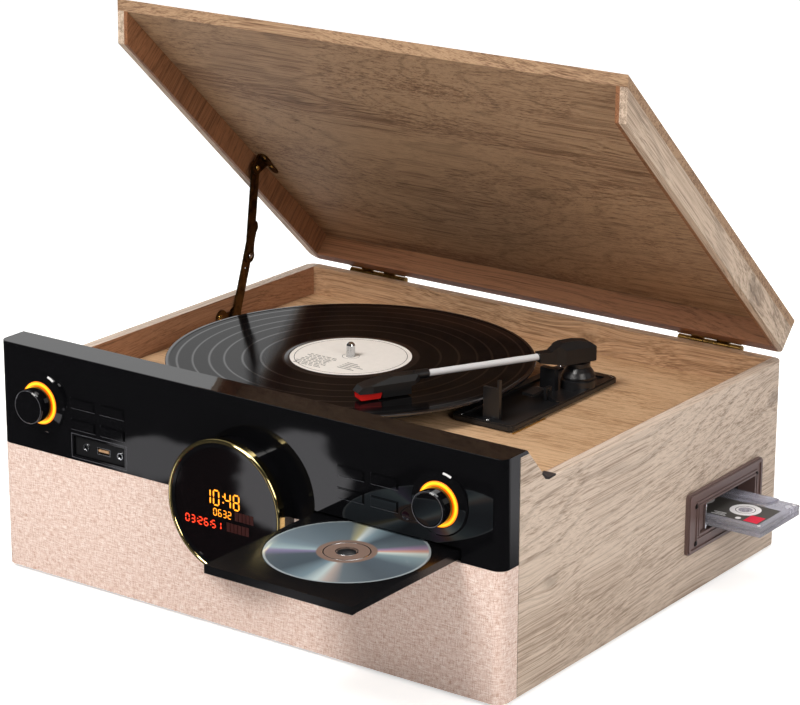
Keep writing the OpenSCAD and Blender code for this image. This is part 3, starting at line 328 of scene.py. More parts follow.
    # one thin dark line a year, about 9 mm apart and closer where the figure tightens
    axes = add(tree, "ShaderNodeSeparateXYZ", {0: grain})
    year = add(tree, "ShaderNodeMath", {0: axes.outputs[1], 1: axes.outputs[2]}, operation="ADD").outputs[0]
    year = add(tree, "ShaderNodeMath", {0: year, 1: 2 * math.pi / 0.009}, operation="MULTIPLY").outputs[0]
    year = add(tree, "ShaderNodeMath", {0: cloud, 1: 30.0, 2: year}, operation="MULTIPLY_ADD").outputs[0]
    year = add(tree, "ShaderNodeMath", {0: year}, operation="SINE").outputs[0]
    year = add(tree, "ShaderNodeMath", {0: lines, 1: -0.5, 2: year}, operation="MULTIPLY_ADD").outputs[0]
    year = add(tree, "ShaderNodeMapRange", {"Value": year, "From Min": 0.45, "From Max": 0.85, "To Min": 0.0,
                                            "To Max": 0.36 * depth}).outputs[0]
    colour = add(tree, "ShaderNodeValToRGB", {"Fac": tone},
                 ramp=[(0.47, dark), (0.58, mid), (0.68, light), (0.84, mid)]).outputs[0]
    pored = add(tree, "ShaderNodeMath", {0: dots, 1: 0.3 * depth, 2: year}, operation="MULTIPLY_ADD").outputs[0]
    deep = [c * 0.62 for c in linear(dark)[:3]] + [1]
    colour = add(tree, "ShaderNodeMix", {0: pored, 6: colour, 7: deep}, data_type="RGBA").outputs[2]
    if shade is not None:
        knot = add(tree, "ShaderNodeMath", {0: shade, 1: 0.4}, operation="MULTIPLY").outputs[0]
        colour = add(tree, "ShaderNodeMix", {0: knot, 6: colour, 7: [c * 0.42 for c in linear(dark)[:3]] + [1]},
                     data_type="RGBA").outputs[2]
    # painted shade: the inside faces are multiplied by a darker, warmer tint that stands for their shade and warm
    # bounce light
    if inner:
        normal, limit, tint = inner
        away = add(tree, "ShaderNodeVectorMath", {0: place, 1: at(*HINGE)}, operation="SUBTRACT").outputs[0]
        side = add(tree, "ShaderNodeVectorMath", {0: away, 1: normal}, operation="DOT_PRODUCT").outputs["Value"]
        side = add(tree, "ShaderNodeMath", {0: side}, operation="ABSOLUTE").outputs[0]
        painted_shade_zone = add(tree, "ShaderNodeMath", {0: side, 1: limit}, operation="LESS_THAN").outputs[0]
        colour = add(tree, "ShaderNodeMix", {0: painted_shade_zone, 6: colour, 7: linear(tint)}, data_type="RGBA",
                     blend_type="MULTIPLY").outputs[2]
    tree.links.new(colour, shader.inputs["Base Color"])
    bump = add(tree, "ShaderNodeBump", {"Height": dots, "Strength": 0.3, "Distance": 0.0002}, invert=True)
    tree.links.new(bump.outputs[0], shader.inputs["Normal"])
    return material


def tweed_cloth():
    """Woven polyester tweed on a stretcher: 0.9 mm threads over and under, in three tones.

    The thread count follows the cloth round the corners; matt, with a little sheen. The hollows between the threads are
    darkened, a painted shade.
    """
    material, tree, shader, place = start_material("woven_tweed_cloth", {
        "Roughness": 0.92, "Specular IOR Level": 0.15, "Sheen Weight": 0.18, "Sheen Roughness": 0.5})
    home = add(tree, "ShaderNodeVectorMath", {0: place, 1: at(0, -21, 0)}, operation="SUBTRACT").outputs[0]
    axes = add(tree, "ShaderNodeSeparateXYZ", {0: home})
    side = add(tree, "ShaderNodeMath", {0: axes.outputs[0]}, operation="SIGN").outputs[0]
    run = add(tree, "ShaderNodeMath", {0: axes.outputs[1], 1: side, 2: axes.outputs[0]},
              operation="MULTIPLY_ADD").outputs[0]
    flat = add(tree, "ShaderNodeCombineXYZ", {0: run, 1: axes.outputs[2]}).outputs[0]
    pitch = 2 * math.pi / (2 * 0.0009)
    wobble = add(tree, "ShaderNodeTexNoise", {"Vector": flat, "Scale": 420.0, "Detail": 2.0}).outputs["Color"]
    shaken = add(tree, "ShaderNodeVectorMath", {0: wobble, 1: (0.0009, 0.0009, 0)}, operation="MULTIPLY").outputs[0]
    cloth = add(tree, "ShaderNodeVectorMath", {0: flat, 1: shaken}, operation="ADD").outputs[0]
    parts = add(tree, "ShaderNodeSeparateXYZ", {0: cloth})
    across = add(tree, "ShaderNodeMath", {0: parts.outputs[0], 1: pitch}, operation="MULTIPLY").outputs[0]
    upward = add(tree, "ShaderNodeMath", {0: parts.outputs[1], 1: pitch}, operation="MULTIPLY").outputs[0]
    warp = add(tree, "ShaderNodeMath", {0: across}, operation="SINE").outputs[0]
    weft = add(tree, "ShaderNodeMath", {0: upward}, operation="SINE").outputs[0]
    over = add(tree, "ShaderNodeMath", {0: warp, 1: weft}, operation="MULTIPLY").outputs[0]
    height = add(tree, "ShaderNodeMapRange", {"Value": over, "From Min": -1, "From Max": 1}).outputs[0]
    # each warp thread and each weft thread has its own tone, drawn long in its own direction
    warp_place = add(tree, "ShaderNodeVectorMath", {0: cloth, 1: (1000, 190, 1)}, operation="MULTIPLY").outputs[0]
    weft_place = add(tree, "ShaderNodeVectorMath", {0: cloth, 1: (150, 1000, 1)}, operation="MULTIPLY").outputs[0]
    warp_tone = add(tree, "ShaderNodeTexNoise", {"Vector": warp_place, "Scale": 1.0, "Detail": 2.0}).outputs["Fac"]
    weft_tone = add(tree, "ShaderNodeTexNoise", {"Vector": weft_place, "Scale": 1.0, "Detail": 2.0}).outputs["Fac"]
    warp_colour = add(tree, "ShaderNodeValToRGB", {"Fac": warp_tone},
                      ramp=[(0.34, "#BD9683"), (0.48, "#DEC2B5"), (0.62, "#EEDCD3")]).outputs[0]
    weft_colour = add(tree, "ShaderNodeValToRGB", {"Fac": weft_tone},
                      ramp=[(0.36, "#C6A191"), (0.50, "#E2C9BE"), (0.64, "#F3E6DF")]).outputs[0]
    colour = add(tree, "ShaderNodeMix", {0: height, 6: weft_colour, 7: warp_colour}, data_type="RGBA").outputs[2]
    # painted shade: the hollows between the threads are darkened to as little as half
    hollow = add(tree, "ShaderNodeMath", {0: warp}, operation="ABSOLUTE").outputs[0]
    hollow2 = add(tree, "ShaderNodeMath", {0: weft}, operation="ABSOLUTE").outputs[0]
    crown = add(tree, "ShaderNodeMath", {0: hollow, 1: hollow2}, operation="MAXIMUM").outputs[0]
    pit = add(tree, "ShaderNodeMapRange", {"Value": crown, "From Min": 0.1, "From Max": 0.6, "To Min": 0.5,
                                           "To Max": 1.0}).outputs[0]
    dim = add(tree, "ShaderNodeMix", {0: 1.0, 6: colour, 7: pit}, data_type="RGBA", blend_type="MULTIPLY").outputs[2]
    tree.links.new(dim, shader.inputs["Base Color"])
    bump = add(tree, "ShaderNodeBump", {"Height": crown, "Strength": 0.5, "Distance": 0.0004})
    tree.links.new(bump.outputs[0], shader.inputs["Normal"])
    return material


def moulded_plastic(name, colour, roughness, grain=0.0):
    """Moulded plastic or rubber: even colour, with a faint 30 mm waviness or a spark-eroded grain."""
    material, tree, shader, place = start_material(name, {"Roughness": roughness, "IOR": 1.53})
    speck = add(tree, "ShaderNodeTexNoise", {"Vector": place, "Scale": 1600.0, "Detail": 2.0}).outputs["Fac"]
    shade = [c * 0.82 for c in linear(colour)[:3]] + [1]
    tint = add(tree, "ShaderNodeMix", {0: speck, 6: shade, 7: linear(colour)}, data_type="RGBA").outputs[2]
    tree.links.new(tint, shader.inputs["Base Color"])
    if grain:
        relief = add(tree, "ShaderNodeTexNoise", {"Vector": place, "Scale": 900.0, "Detail": 3.0}).outputs["Fac"]
        bump = add(tree, "ShaderNodeBump", {"Height": relief, "Strength": grain, "Distance": 0.00015})
    else:
        peel = add(tree, "ShaderNodeTexNoise", {"Vector": place, "Scale": 34.0, "Detail": 1.5}).outputs["Fac"]
        bump = add(tree, "ShaderNodeBump", {"Height": peel, "Strength": 0.06, "Distance": 0.001})
    tree.links.new(bump.outputs[0], shader.inputs["Normal"])
    return material


def worked_metal(name, colour, roughness, wear="#000000", worn=0.0, along=(60, 60, 1800), brushed=0.1):
    """Metal with its own fine scratches; wear darkens or brightens it in patches."""
    material, tree, shader, place = start_material(name, {"Metallic": 1.0, "Roughness": roughness})
    drawn = add(tree, "ShaderNodeVectorMath", {0: place, 1: along}, operation="MULTIPLY").outputs[0]
    lines = add(tree, "ShaderNodeTexNoise", {"Vector": drawn, "Scale": 1.0, "Detail": 3.0}).outputs["Fac"]
    patch = add(tree, "ShaderNodeTexNoise", {"Vector": place, "Scale": 130.0, "Detail": 4.0}).outputs["Fac"]
    amount = add(tree, "ShaderNodeMapRange", {"Value": patch, "From Min": 0.45, "From Max": 0.65, "To Min": 0.0,
                                              "To Max": worn}).outputs[0]
    tint = add(tree, "ShaderNodeMix", {0: amount, 6: linear(colour), 7: linear(wear)}, data_type="RGBA").outputs[2]
    tree.links.new(tint, shader.inputs["Base Color"])
    rough = add(tree, "ShaderNodeMapRange", {"Value": lines, "From Min": 0.3, "From Max": 0.7,
                                             "To Min": max(0.03, roughness - brushed), "To Max": roughness + brushed})
    tree.links.new(rough.outputs[0], shader.inputs["Roughness"])
    bump = add(tree, "ShaderNodeBump", {"Height": lines, "Strength": 0.08, "Distance": 0.0001})
    tree.links.new(bump.outputs[0], shader.inputs["Normal"])
    return material


def radius_from(tree, place, centre, axis):
    """Distance in metres from a line through centre along axis."""
    keep = {"x": (0, 1, 1), "y": (1, 0, 1), "z": (1, 1, 0)}[axis]
    away = add(tree, "ShaderNodeVectorMath", {0: place, 1: centre}, operation="SUBTRACT").outputs[0]
    flat = add(tree, "ShaderNodeVectorMath", {0: away, 1: keep}, operation="MULTIPLY").outputs[0]
    return add(tree, "ShaderNodeVectorMath", {0: flat}, operation="LENGTH").outputs["Value"], flat


def pressed_vinyl():
    """Pressed PVC record: grooves in bands, with smooth gaps between the tracks, glossier and with a painted sheen that
    makes them a little brighter.

    Real grooves are 0.1 mm apart, too fine to show, so they are drawn 0.9 mm apart.
    """
    material, tree, shader, place = start_material("pressed_vinyl", {"IOR": 1.53})
    far, _ = radius_from(tree, place, at(*SPINDLE), "z")
    ring = add(tree, "ShaderNodeCombineXYZ", {0: far}).outputs[0]
    # cut density changes from ring to ring, and the gaps show as thin bright circles, from their gloss and from a
    # painted sheen in their colour
    cut = add(tree, "ShaderNodeTexNoise", {"Vector": ring, "Scale": 900.0, "Detail": 3.0,
                                           "Roughness": 0.7}).outputs["Fac"]
    groove = add(tree, "ShaderNodeMath", {0: far, 1: 2 * math.pi / 0.0009}, operation="MULTIPLY").outputs[0]
    wave = add(tree, "ShaderNodeMath", {0: groove}, operation="SINE").outputs[0]
    relief = add(tree, "ShaderNodeMath", {0: wave, 1: 0.35, 2: cut}, operation="MULTIPLY_ADD").outputs[0]
    share = add(tree, "ShaderNodeMath", {0: far, 1: 1 / 0.16}, operation="MULTIPLY").outputs[0]
    bands = add(tree, "ShaderNodeValToRGB", {"Fac": share},
                ramp=[(0.0, 0.0), (0.343, 0.0), (0.352, 1.0), (0.452, 1.0), (0.458, 0.0), (0.464, 1.0),
                      (0.545, 1.0), (0.551, 0.0), (0.557, 1.0), (0.637, 1.0), (0.643, 0.0), (0.649, 1.0),
                      (0.713, 1.0), (0.719, 0.0), (0.725, 1.0), (0.797, 1.0), (0.803, 0.0), (0.809, 1.0),
                      (0.877, 1.0), (0.883, 0.0), (0.889, 1.0), (0.925, 1.0), (0.93, 0.0), (1.0, 0.0)])
    rough = add(tree, "ShaderNodeMapRange", {"Value": bands.outputs[0], "To Min": 0.16, "To Max": 0.09}).outputs[0]
    tree.links.new(rough, shader.inputs["Roughness"])
    # the grooves scatter most of the gloss; the smooth gaps keep it
    gloss = add(tree, "ShaderNodeMapRange", {"Value": bands.outputs[0], "To Min": 0.9, "To Max": 0.08}).outputs[0]
    tree.links.new(gloss, shader.inputs["Specular IOR Level"])
    strength = add(tree, "ShaderNodeMath", {0: bands.outputs[0], 1: 0.1}, operation="MULTIPLY").outputs[0]
    bump = add(tree, "ShaderNodeBump", {"Height": relief, "Strength": strength, "Distance": 0.00012})
    tree.links.new(bump.outputs[0], shader.inputs["Normal"])
    # painted sheen: the smooth gaps get a lighter black than the grooves
    gap = add(tree, "ShaderNodeMapRange", {"Value": bands.outputs[0], "From Min": 0.15, "From Max": 0.5,
                                           "To Min": 1.0, "To Max": 0.0}).outputs[0]
    tint = add(tree, "ShaderNodeMix", {0: gap, 6: linear("#0B0A0B"), 7: linear("#141316")}, data_type="RGBA").outputs[2]
    tree.links.new(tint, shader.inputs["Base Color"])
    return material


def mirrored_disc():
    """Aluminised polycarbonate: silver, with the data's rainbow and the lamps' bright streaks painted round the hub as
    narrow bands by angle, a painted reflection.

    The pits scatter the lamps, so part of the silver is diffuse.
    """
    material, tree, shader, place = start_material("aluminised_polycarbonate", {
        "Metallic": 0.25, "Roughness": 0.3, "Coat Weight": 0.5, "Coat Roughness": 0.02})
    far, flat = radius_from(tree, place, at(*DISC), "z")
    parts = add(tree, "ShaderNodeSeparateXYZ", {0: flat})
    angle = add(tree, "ShaderNodeMath", {0: parts.outputs[1], 1: parts.outputs[0]}, operation="ARCTAN2").outputs[0]
    turn = add(tree, "ShaderNodeMath", {0: angle, 1: 1 / (2 * math.pi), 2: 0.5}, operation="MULTIPLY_ADD").outputs[0]
    # painted reflection: the diffraction rainbow and the bright streaks are fixed in the base colour by angle about the
    # hub
    painted_rainbow_glints = add(tree, "ShaderNodeValToRGB", {"Fac": turn}, ramp=[
        (0.00, "#75838C"), (0.04, "#8496A0"), (0.075, "#A9BFC2"), (0.09, "#8F86A8"), (0.12, "#56616A"),
        (0.20, "#4E5A63"), (0.26, "#7E929C"), (0.29, "#C3D2D2"), (0.31, "#B7A8A0"), (0.34, "#6B767D"),
        (0.42, "#566068"), (0.50, "#5B6770"), (0.56, "#8BA0A6"), (0.585, "#D8E2DC"), (0.60, "#D9A48E"),
        (0.615, "#A98FB0"), (0.64, "#66737B"), (0.72, "#525E67"), (0.77, "#93A9B4"), (0.795, "#DCE6E6"),
        (0.81, "#B9B48E"), (0.84, "#6A777F"), (0.92, "#6A7881"), (1.00, "#75838C")]).outputs[0]
    zone = add(tree, "ShaderNodeMapRange", {"Value": far, "From Min": 0.0215, "From Max": 0.0225}).outputs[0]
    colour = add(tree, "ShaderNodeMix", {0: zone, 6: linear("#8C7468"), 7: painted_rainbow_glints}, data_type="RGBA").outputs[2]
    rim = add(tree, "ShaderNodeMapRange", {"Value": far, "From Min": 0.0582, "From Max": 0.0586}).outputs[0]
    colour = add(tree, "ShaderNodeMix", {0: rim, 6: colour, 7: linear("#A7B0B4")}, data_type="RGBA").outputs[2]
    tree.links.new(colour, shader.inputs["Base Color"])
    return material


def lit_light_guide():
    """Acrylic light guide lit by amber diodes: yellow core, deep orange edges."""
    material, tree, shader, place = start_material("lit_acrylic_light_guide", {"Roughness": 0.35, "IOR": 1.49})
    reach = None
    for x in KNOB_X.values():
        far, _ = radius_from(tree, place, at(x, 0, KNOB_Z), "y")
        reach = far if reach is None else add(tree, "ShaderNodeMath", {0: reach, 1: far},
                                              operation="MINIMUM").outputs[0]
    step = add(tree, "ShaderNodeMapRange", {"Value": reach, "From Min": 0.0138, "From Max": 0.0175}).outputs[0]
    glow = add(tree, "ShaderNodeValToRGB", {"Fac": step},
               ramp=[(0.0, "#D94E00"), (0.22, "#FF9A1E"), (0.5, "#FFD21A"), (0.78, "#FF9A1E"),
                     (1.0, "#C23A00")]).outputs[0]
    tree.links.new(glow, shader.inputs["Base Color"])
    tree.links.new(glow, shader.inputs["Emission Color"])
    shader.inputs["Emission Strength"].default_value = 1.0
    return material


def glowing(name, colour, strength):
    """Lit diode segments behind the window; for the unlit cells, a faint painted glow."""
    return start_material(name, {"Base Color": linear(colour), "Roughness": 0.4, "Emission Color": linear(colour),
                                 "Emission Strength": strength})[0]


def smoke_polystyrene():
    """Clear smoked polystyrene shell: you see through it, with a hard gloss. Its real IOR is 1.59."""
    return start_material("smoked_clear_polystyrene", {
        "Base Color": linear("#DDDBE6"), "Roughness": 0.06, "IOR": 1.35, "Transmission Weight": 0.72})[0]


def paper(name, colour):
    """Coated paper, slightly mottled."""
    material, tree, shader, place = start_material(name, {"Roughness": 0.6, "Specular IOR Level": 0.25})
    cloud = add(tree, "ShaderNodeTexNoise", {"Vector": place, "Scale": 260.0, "Detail": 3.0}).outputs["Fac"]
    shade = [c * 0.9 for c in linear(colour)[:3]] + [1]
    tint = add(tree, "ShaderNodeMix", {0: cloud, 6: shade, 7: linear(colour)}, data_type="RGBA").outputs[2]
    tree.links.new(tint, shader.inputs["Base Color"])
    return material


OAK = {
    # the sides and the lid walls carry a painted shade tint on their inside faces
    "side": oak_veneer("limed_oak_veneer_sides_painted_inner_shade", "#94806F", "#C0AC9B", "#D6C4B4", "y",
                       [(tuple(at(240, 43, 76)), 0.006), (tuple(at(240, 372, 128)), 0.006)],
                       inner=((1, 0, 0), 0.2305, "#D0A88C")),
    "deck": oak_veneer("oak_veneer_deck", "#A27B58", "#C8A27C", "#DAB792", "x", [], (0.3, 0.1, 0), depth=0.6),
    "rear": oak_veneer("oak_veneer_rear", "#8E6C50", "#B8926F", "#CCA886", "x",
                       [(tuple(at(60, 374, 146)), 0.006)], (0.1, 0.4, 0.2)),
    # the lid's board is a darker, warmer copy of the sides' oak: painted shade of the lid's underside, which faces down
    "lid": oak_veneer("oak_veneer_lid", "#75563F", "#9A7A5F", "#B39373", "x",
                      [(tuple(at(*lid_point(75, 215, 179))), 0.011), (tuple(at(*lid_point(-120, 120, 179))), 0.008)],
                      (0.7, 0.2, 0.1)),
    "wall": oak_veneer("limed_oak_veneer_lid_walls_painted_inner_shade", "#907C6A", "#BBA591", "#D0BBA7", "lid wall",
                       [(tuple(at(*lid_point(240, 300, 170))), 0.009)], (0.2, 0.6, 0.4),
                       inner=((1, 0, 0), 0.2335, "#B98E70")),
}
CLOTH = tweed_cloth()
PIANO_BLACK = moulded_plastic("piano_black_moulded_plastic", "#0A0A0C", 0.04)
SATIN_BLACK = moulded_plastic("satin_black_moulded_plastic", "#141416", 0.36, grain=0.12)
TRAY_BLACK = moulded_plastic("smooth_black_tray_plastic", "#0B0B0D", 0.22)
GRAINED_BLACK = moulded_plastic("grained_black_moulded_plastic", "#19191B", 0.3, grain=0.6)
BEZEL_BROWN = moulded_plastic("brown_moulded_plastic", "#6A5450", 0.34, grain=0.2)
SMOKED_WINDOW = moulded_plastic("smoked_window_plastic", "#080405", 0.05)
BOARD_BLACK = moulded_plastic("painted_fibreboard", "#1E1C1A", 0.75, grain=0.6)
GOLD = worked_metal("polished_gold_plating", "#F2DC9A", 0.08, brushed=0.03)
BRONZE = worked_metal("antique_bronze_plating", "#5E4526", 0.36, "#1E150C", 0.8)
HINGE_BRASS = worked_metal("aged_brass_plating", "#94723C", 0.3, "#4A3518", 0.5)
STEEL = worked_metal("turned_steel", "#C9CBCE", 0.18, along=(1400, 1400, 60))
CHROME = worked_metal("chromed_steel", "#E4E6E8", 0.2, brushed=0.06)
# painted reflection: the tube's near-white diffuse colour is its silver lacquer with the bright reflection along its
# top painted in
SILVER_LACQUER_PAINTED_REFLECTION = moulded_plastic("silver_lacquered_tube_painted_reflection", "#DFE0E3", 0.2)
RED_PLASTIC = moulded_plastic("red_moulded_plastic", "#D8231E", 0.25)
RUBBER = moulded_plastic("moulded_rubber", "#1A1A1B", 0.8, grain=0.7)
GREEN_BOARD = moulded_plastic("fibreglass_circuit_board", "#2C5E38", 0.4, grain=0.2)
FELT = moulded_plastic("felt_mat", "#232326", 0.95, grain=1.0)
VINYL = pressed_vinyl()
DISC_SILVER = mirrored_disc()
LIGHT_GUIDE = lit_light_guide()
AMBER = glowing("amber_diodes", "#FF9A1A", 1.1)
RED_GLOW = glowing("red_diodes", "#FF3A12", 0.9)
UNLIT_CELLS_PAINTED_GLOW = glowing("unlit_cells_painted_glow", "#2A0703", 0.5)
SMOKE = smoke_polystyrene()
LABEL_PAPER = paper("cream_label_paper", "#F7F2EC")
DARK_INK = paper("dark_printing_ink", "#3A3836")
PULLEY_BRASS = worked_metal("turned_brass", "#C9A45A", 0.2)
# blackened steel for the bezel screws' heads, and the painted shade of the other screws' cross recesses
DARK_STEEL_AND_RECESS_SHADE = worked_metal("blackened_steel_and_recess_shade", "#2A2624", 0.35)
# painted highlight: light grey for thin strips that stand for the gloss on slot and cap edges
EDGE_HIGHLIGHT_GREY = moulded_plastic("painted_edge_highlight_plastic", "#5C5C62", 0.3)
TONGUE_BROWN = moulded_plastic("brown_socket_tongue", "#A98562", 0.5, grain=0.3)
CORD_GREY = moulded_plastic("pvc_insulated_wire", "#B9BCC0", 0.35)
LABEL_GREY = paper("grey_cassette_label", "#4A4744")
LABEL_WHITE = paper("white_cassette_label", "#E9E7E8")
LABEL_RED = paper("red_cassette_label", "#D2233F")
TAPE_BROWN = moulded_plastic("wound_magnetic_tape", "#3B2A22", 0.4)
# dark rubber for the rim buffers, and the painted shade of the bezel screws' cross recesses
DARK_PAD_AND_RECESS_SHADE = moulded_plastic("dark_brown_buffer_rubber_and_recess_shade", "#2B2220", 0.7, grain=0.6)
SENSOR_LENS = moulded_plastic("infrared_window_plastic", "#1B0A12", 0.06)
SOCKET_RED = moulded_plastic("red_socket_ring", "#B92A25", 0.4)
SOCKET_WHITE = moulded_plastic("white_socket_ring", "#DEDCD8", 0.4)

DRESS = {
    "side_panel_left": OAK["side"], "side_panel_right": OAK["side"], "rear_panel": OAK["rear"],
    "bottom_panel": OAK["rear"], "deck_panel": OAK["deck"], "front_baffle": BOARD_BLACK,
    "grille_cloth": CLOTH, "fascia": PIANO_BLACK, "display_housing": PIANO_BLACK, "display_ring": GOLD,
    "display_lens": SMOKED_WINDOW, "knob_dishes": PIANO_BLACK, "light_rings": LIGHT_GUIDE,
    "jack_panel": SATIN_BLACK, "front_sockets": STEEL, "cassette_bezel": BEZEL_BROWN,
    "cassette_mechanism": SATIN_BLACK, "cd_loader": SATIN_BLACK, "platter_bearing": STEEL,
    "drive_motor": STEEL, "drive_belt": RUBBER, "circuit_boards": GREEN_BOARD, "speakers": SATIN_BLACK,
    "terminal_panel": SATIN_BLACK, "rear_sockets": STEEL, "feet": RUBBER, "hinge_leaves_lower": HINGE_BRASS,
    "stay_bracket_lower": BRONZE, "arm_base": GRAINED_BLACK, "platter": SATIN_BLACK, "slipmat": FELT,
    "spindle": STEEL, "record": VINYL, "motor_pulley": PULLEY_BRASS, "arm_turret": GRAINED_BLACK,
    "arm_tube": SILVER_LACQUER_PAINTED_REFLECTION, "headshell": SATIN_BLACK, "cartridge": RED_PLASTIC, "counterweight": SATIN_BLACK,
    "cue_lever": SATIN_BLACK, "source_knob": PIANO_BLACK, "volume_knob": PIANO_BLACK,
    "cd_tray": TRAY_BLACK, "disc": DISC_SILVER, "cassette": SMOKE, "eject_button": BEZEL_BROWN,
    "lid_top": OAK["lid"], "lid_walls": OAK["wall"], "hinge_leaves_upper": HINGE_BRASS,
    "stay_bracket_upper": BRONZE, "stay_arm_upper": BRONZE, "stay_arm_lower": BRONZE,
}
for number in range(1, 9):
    DRESS[f"button_{number}"] = PIANO_BLACK
for node, material in DRESS.items():
    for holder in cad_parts[node].material_slots:
        holder.material = material


# ---------------------------------------------------------------- pieces
def make_piece(name, bm, body, *materials, smooth=30, clean=True):
    """Turn a bmesh in millimetres of the cabinet's frame into a piece that rides on a body."""
    if clean:
        bmesh.ops.remove_doubles(bm, verts=bm.verts, dist=0.0005)
        bmesh.ops.recalc_face_normals(bm, faces=bm.faces)
    bmesh.ops.scale(bm, vec=(MM, MM, MM), verts=bm.verts)
    bmesh.ops.translate(bm, vec=ORIGIN, verts=bm.verts)
    mesh = bpy.data.meshes.new(name)
    bm.to_mesh(mesh)
    bm.free()
    for material in materials:
        mesh.materials.append(material)
    mesh.polygons.foreach_set("use_smooth", [True] * len(mesh.polygons))
    mesh.set_sharp_from_angle(angle=math.radians(smooth))
    piece = bpy.data.objects.new(name, mesh)
    bpy.context.scene.collection.objects.link(piece)
    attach(piece, body)
    return piece


def add_block(bm, low_corner, high_corner, edge=0.0):
    """A block between two corners, with its edges rounded."""
    made = bmesh.ops.create_cube(bm, size=1)["verts"]
    size = [b - a for a, b in zip(low_corner, high_corner)]
    bmesh.ops.scale(bm, vec=size, verts=made)
    bmesh.ops.translate(bm, vec=[(a + b) / 2 for a, b in zip(low_corner, high_corner)], verts=made)
    if edge:
        edges = list({e for v in made for e in v.link_edges})
        bmesh.ops.bevel(bm, geom=edges, offset=edge, offset_type="OFFSET", segments=2, profile=0.5,
                        affect="EDGES", material=-1)


def add_disc(bm, centre, axis, radius, thickness, sides=32, edge=0.0):
    """A short round bar from centre along axis."""
    made = bmesh.ops.create_cone(bm, cap_ends=True, segments=sides, radius1=radius, radius2=radius,
                                 depth=thickness)["verts"]
    turn = Vector(axis).to_track_quat("Z", "Y").to_matrix()
    bmesh.ops.rotate(bm, matrix=turn, verts=made)
    bmesh.ops.translate(bm, vec=Vector(centre) + Vector(axis).normalized() * thickness / 2, verts=made)
    if edge:
        direction = Vector(axis).normalized()
        edges = [e for e in {e for v in made for e in v.link_edges}
                 if abs((e.verts[0].co - e.verts[1].co).dot(direction)) < 1e-4
                 and (e.verts[0].co - Vector(centre)).dot(direction) > thickness / 2]
        bmesh.ops.bevel(bm, geom=edges, offset=edge, offset_type="OFFSET", segments=2, profile=0.5,
                        affect="EDGES", material=-1)


def add_screw(bm, centre, axis, radius, turn=0.0):
    """A domed screw head; two thin dark bars across it stand for the painted shade in its cross recess."""
    made = bmesh.ops.create_uvsphere(bm, u_segments=24, v_segments=10, radius=radius)["verts"]
    below = [v for v in made if v.co.z < -1e-4]
    bmesh.ops.delete(bm, geom=below, context="VERTS")
    dome = [v for v in made if v.is_valid]
    bmesh.ops.scale(bm, vec=(1, 1, 0.42), verts=dome)
    arms = []
    for angle in (0, 90):
        arm = bmesh.ops.create_cube(bm, size=1)["verts"]
        bmesh.ops.scale(bm, vec=(radius * 1.15, radius * 0.24, radius * 0.08), verts=arm)
        bmesh.ops.translate(bm, vec=(0, 0, radius * 0.4), verts=arm)
        bmesh.ops.rotate(bm, matrix=Matrix.Rotation(math.radians(angle + turn), 3, "Z"), verts=arm)
        arms += arm
    for face in {f for v in arms for f in v.link_faces}:
        face.material_index = 1
    whole = dome + arms
    bmesh.ops.rotate(bm, matrix=Vector(axis).to_track_quat("Z", "Y").to_matrix(), verts=whole)
    bmesh.ops.translate(bm, vec=centre, verts=whole)


# ---- display: plain digits on the window
WINDOW_Y = low("display_lens").y
SEGMENTS = {"0": "abcdef", "1": "bc", "2": "abged", "3": "abgcd", "4": "fgbc", "5": "afgcd", "6": "afgedc",
            "7": "abc", "8": "abcdefg", "9": "abcfgd"}
STROKES = {"a": (0.5, 2, 0), "b": (1, 1.5, 1), "c": (1, 0.5, 1), "d": (0.5, 0, 0), "e": (0, 0.5, 1),
           "f": (0, 1.5, 1), "g": (0.5, 1, 0)}


def add_segment(bm, x, z, width, height, y, stroke, upright):
    """One lit bar with pointed ends."""
    length = (height / 2 if upright else width) - stroke * 0.75
    tip = stroke / 2
    outline = [(-length / 2, 0), (-length / 2 + tip, tip), (length / 2 - tip, tip),
               (length / 2, 0), (length / 2 - tip, -tip), (-length / 2 + tip, -tip)]
    if upright:
        outline = [(b, a) for a, b in outline]
    front = [bm.verts.new((x + a, y, z + b)) for a, b in outline]
    face = bm.faces.new(front)
    made = bmesh.ops.extrude_face_region(bm, geom=[face])["geom"]
    bmesh.ops.translate(bm, vec=(0, 0.25, 0), verts=[v for v in made if isinstance(v, bmesh.types.BMVert)])


def add_digits(bm, text, x, z, width, height, gap, stroke, y):
    """A row of seven-segment digits that starts at x; a colon takes half a place."""
    for mark in text:
        if mark == ":":
            for up in (0.3, 0.7):
                add_block(bm, (x + width * 0.1, y, z + up * height - stroke / 2),
                          (x + width * 0.1 + stroke, y + 0.25, z + up * height + stroke / 2))
            x += width * 0.55
            continue
        for name in SEGMENTS.get(mark, ""):
            a, b, upright = STROKES[name]
            add_segment(bm, x + a * width, z + b * height / 2, width, height, y, stroke, upright)
        x += width + gap


def make_display():
    """A clock, a smaller count and a running time, with the cells of unlit signs, dark red with a faint painted glow.
    """
    y = WINDOW_Y - 0.28
    bm = bmesh.new()
    add_digits(bm, "10:48", -14.4, 106.8, 5.0, 11.6, 3.2, 1.1, y)
    add_digits(bm, "0632", -6.4, 98.6, 2.8, 5.3, 1.8, 0.55, y)
    make_piece("lit_clock_digits", bm, "cabinet", AMBER)
    bm = bmesh.new()
    add_digits(bm, "03:26:51", -33.5, 88.3, 3.3, 5.6, 2.1, 0.8, y)
    make_piece("lit_timer_digits", bm, "cabinet", RED_GLOW)
    # the unlit cells: dark red with a faint painted glow
    bm = bmesh.new()
    for row, count, start in ((98.2, 5, 14), (88.2, 6, 6)):
        for column in range(count):
            x = start + column * 3.6
            add_block(bm, (x, y + 0.1, row), (x + 3, y + 0.25, row + 7))
    make_piece("unlit_display_cells", bm, "cabinet", UNLIT_CELLS_PAINTED_GLOW)


make_display()


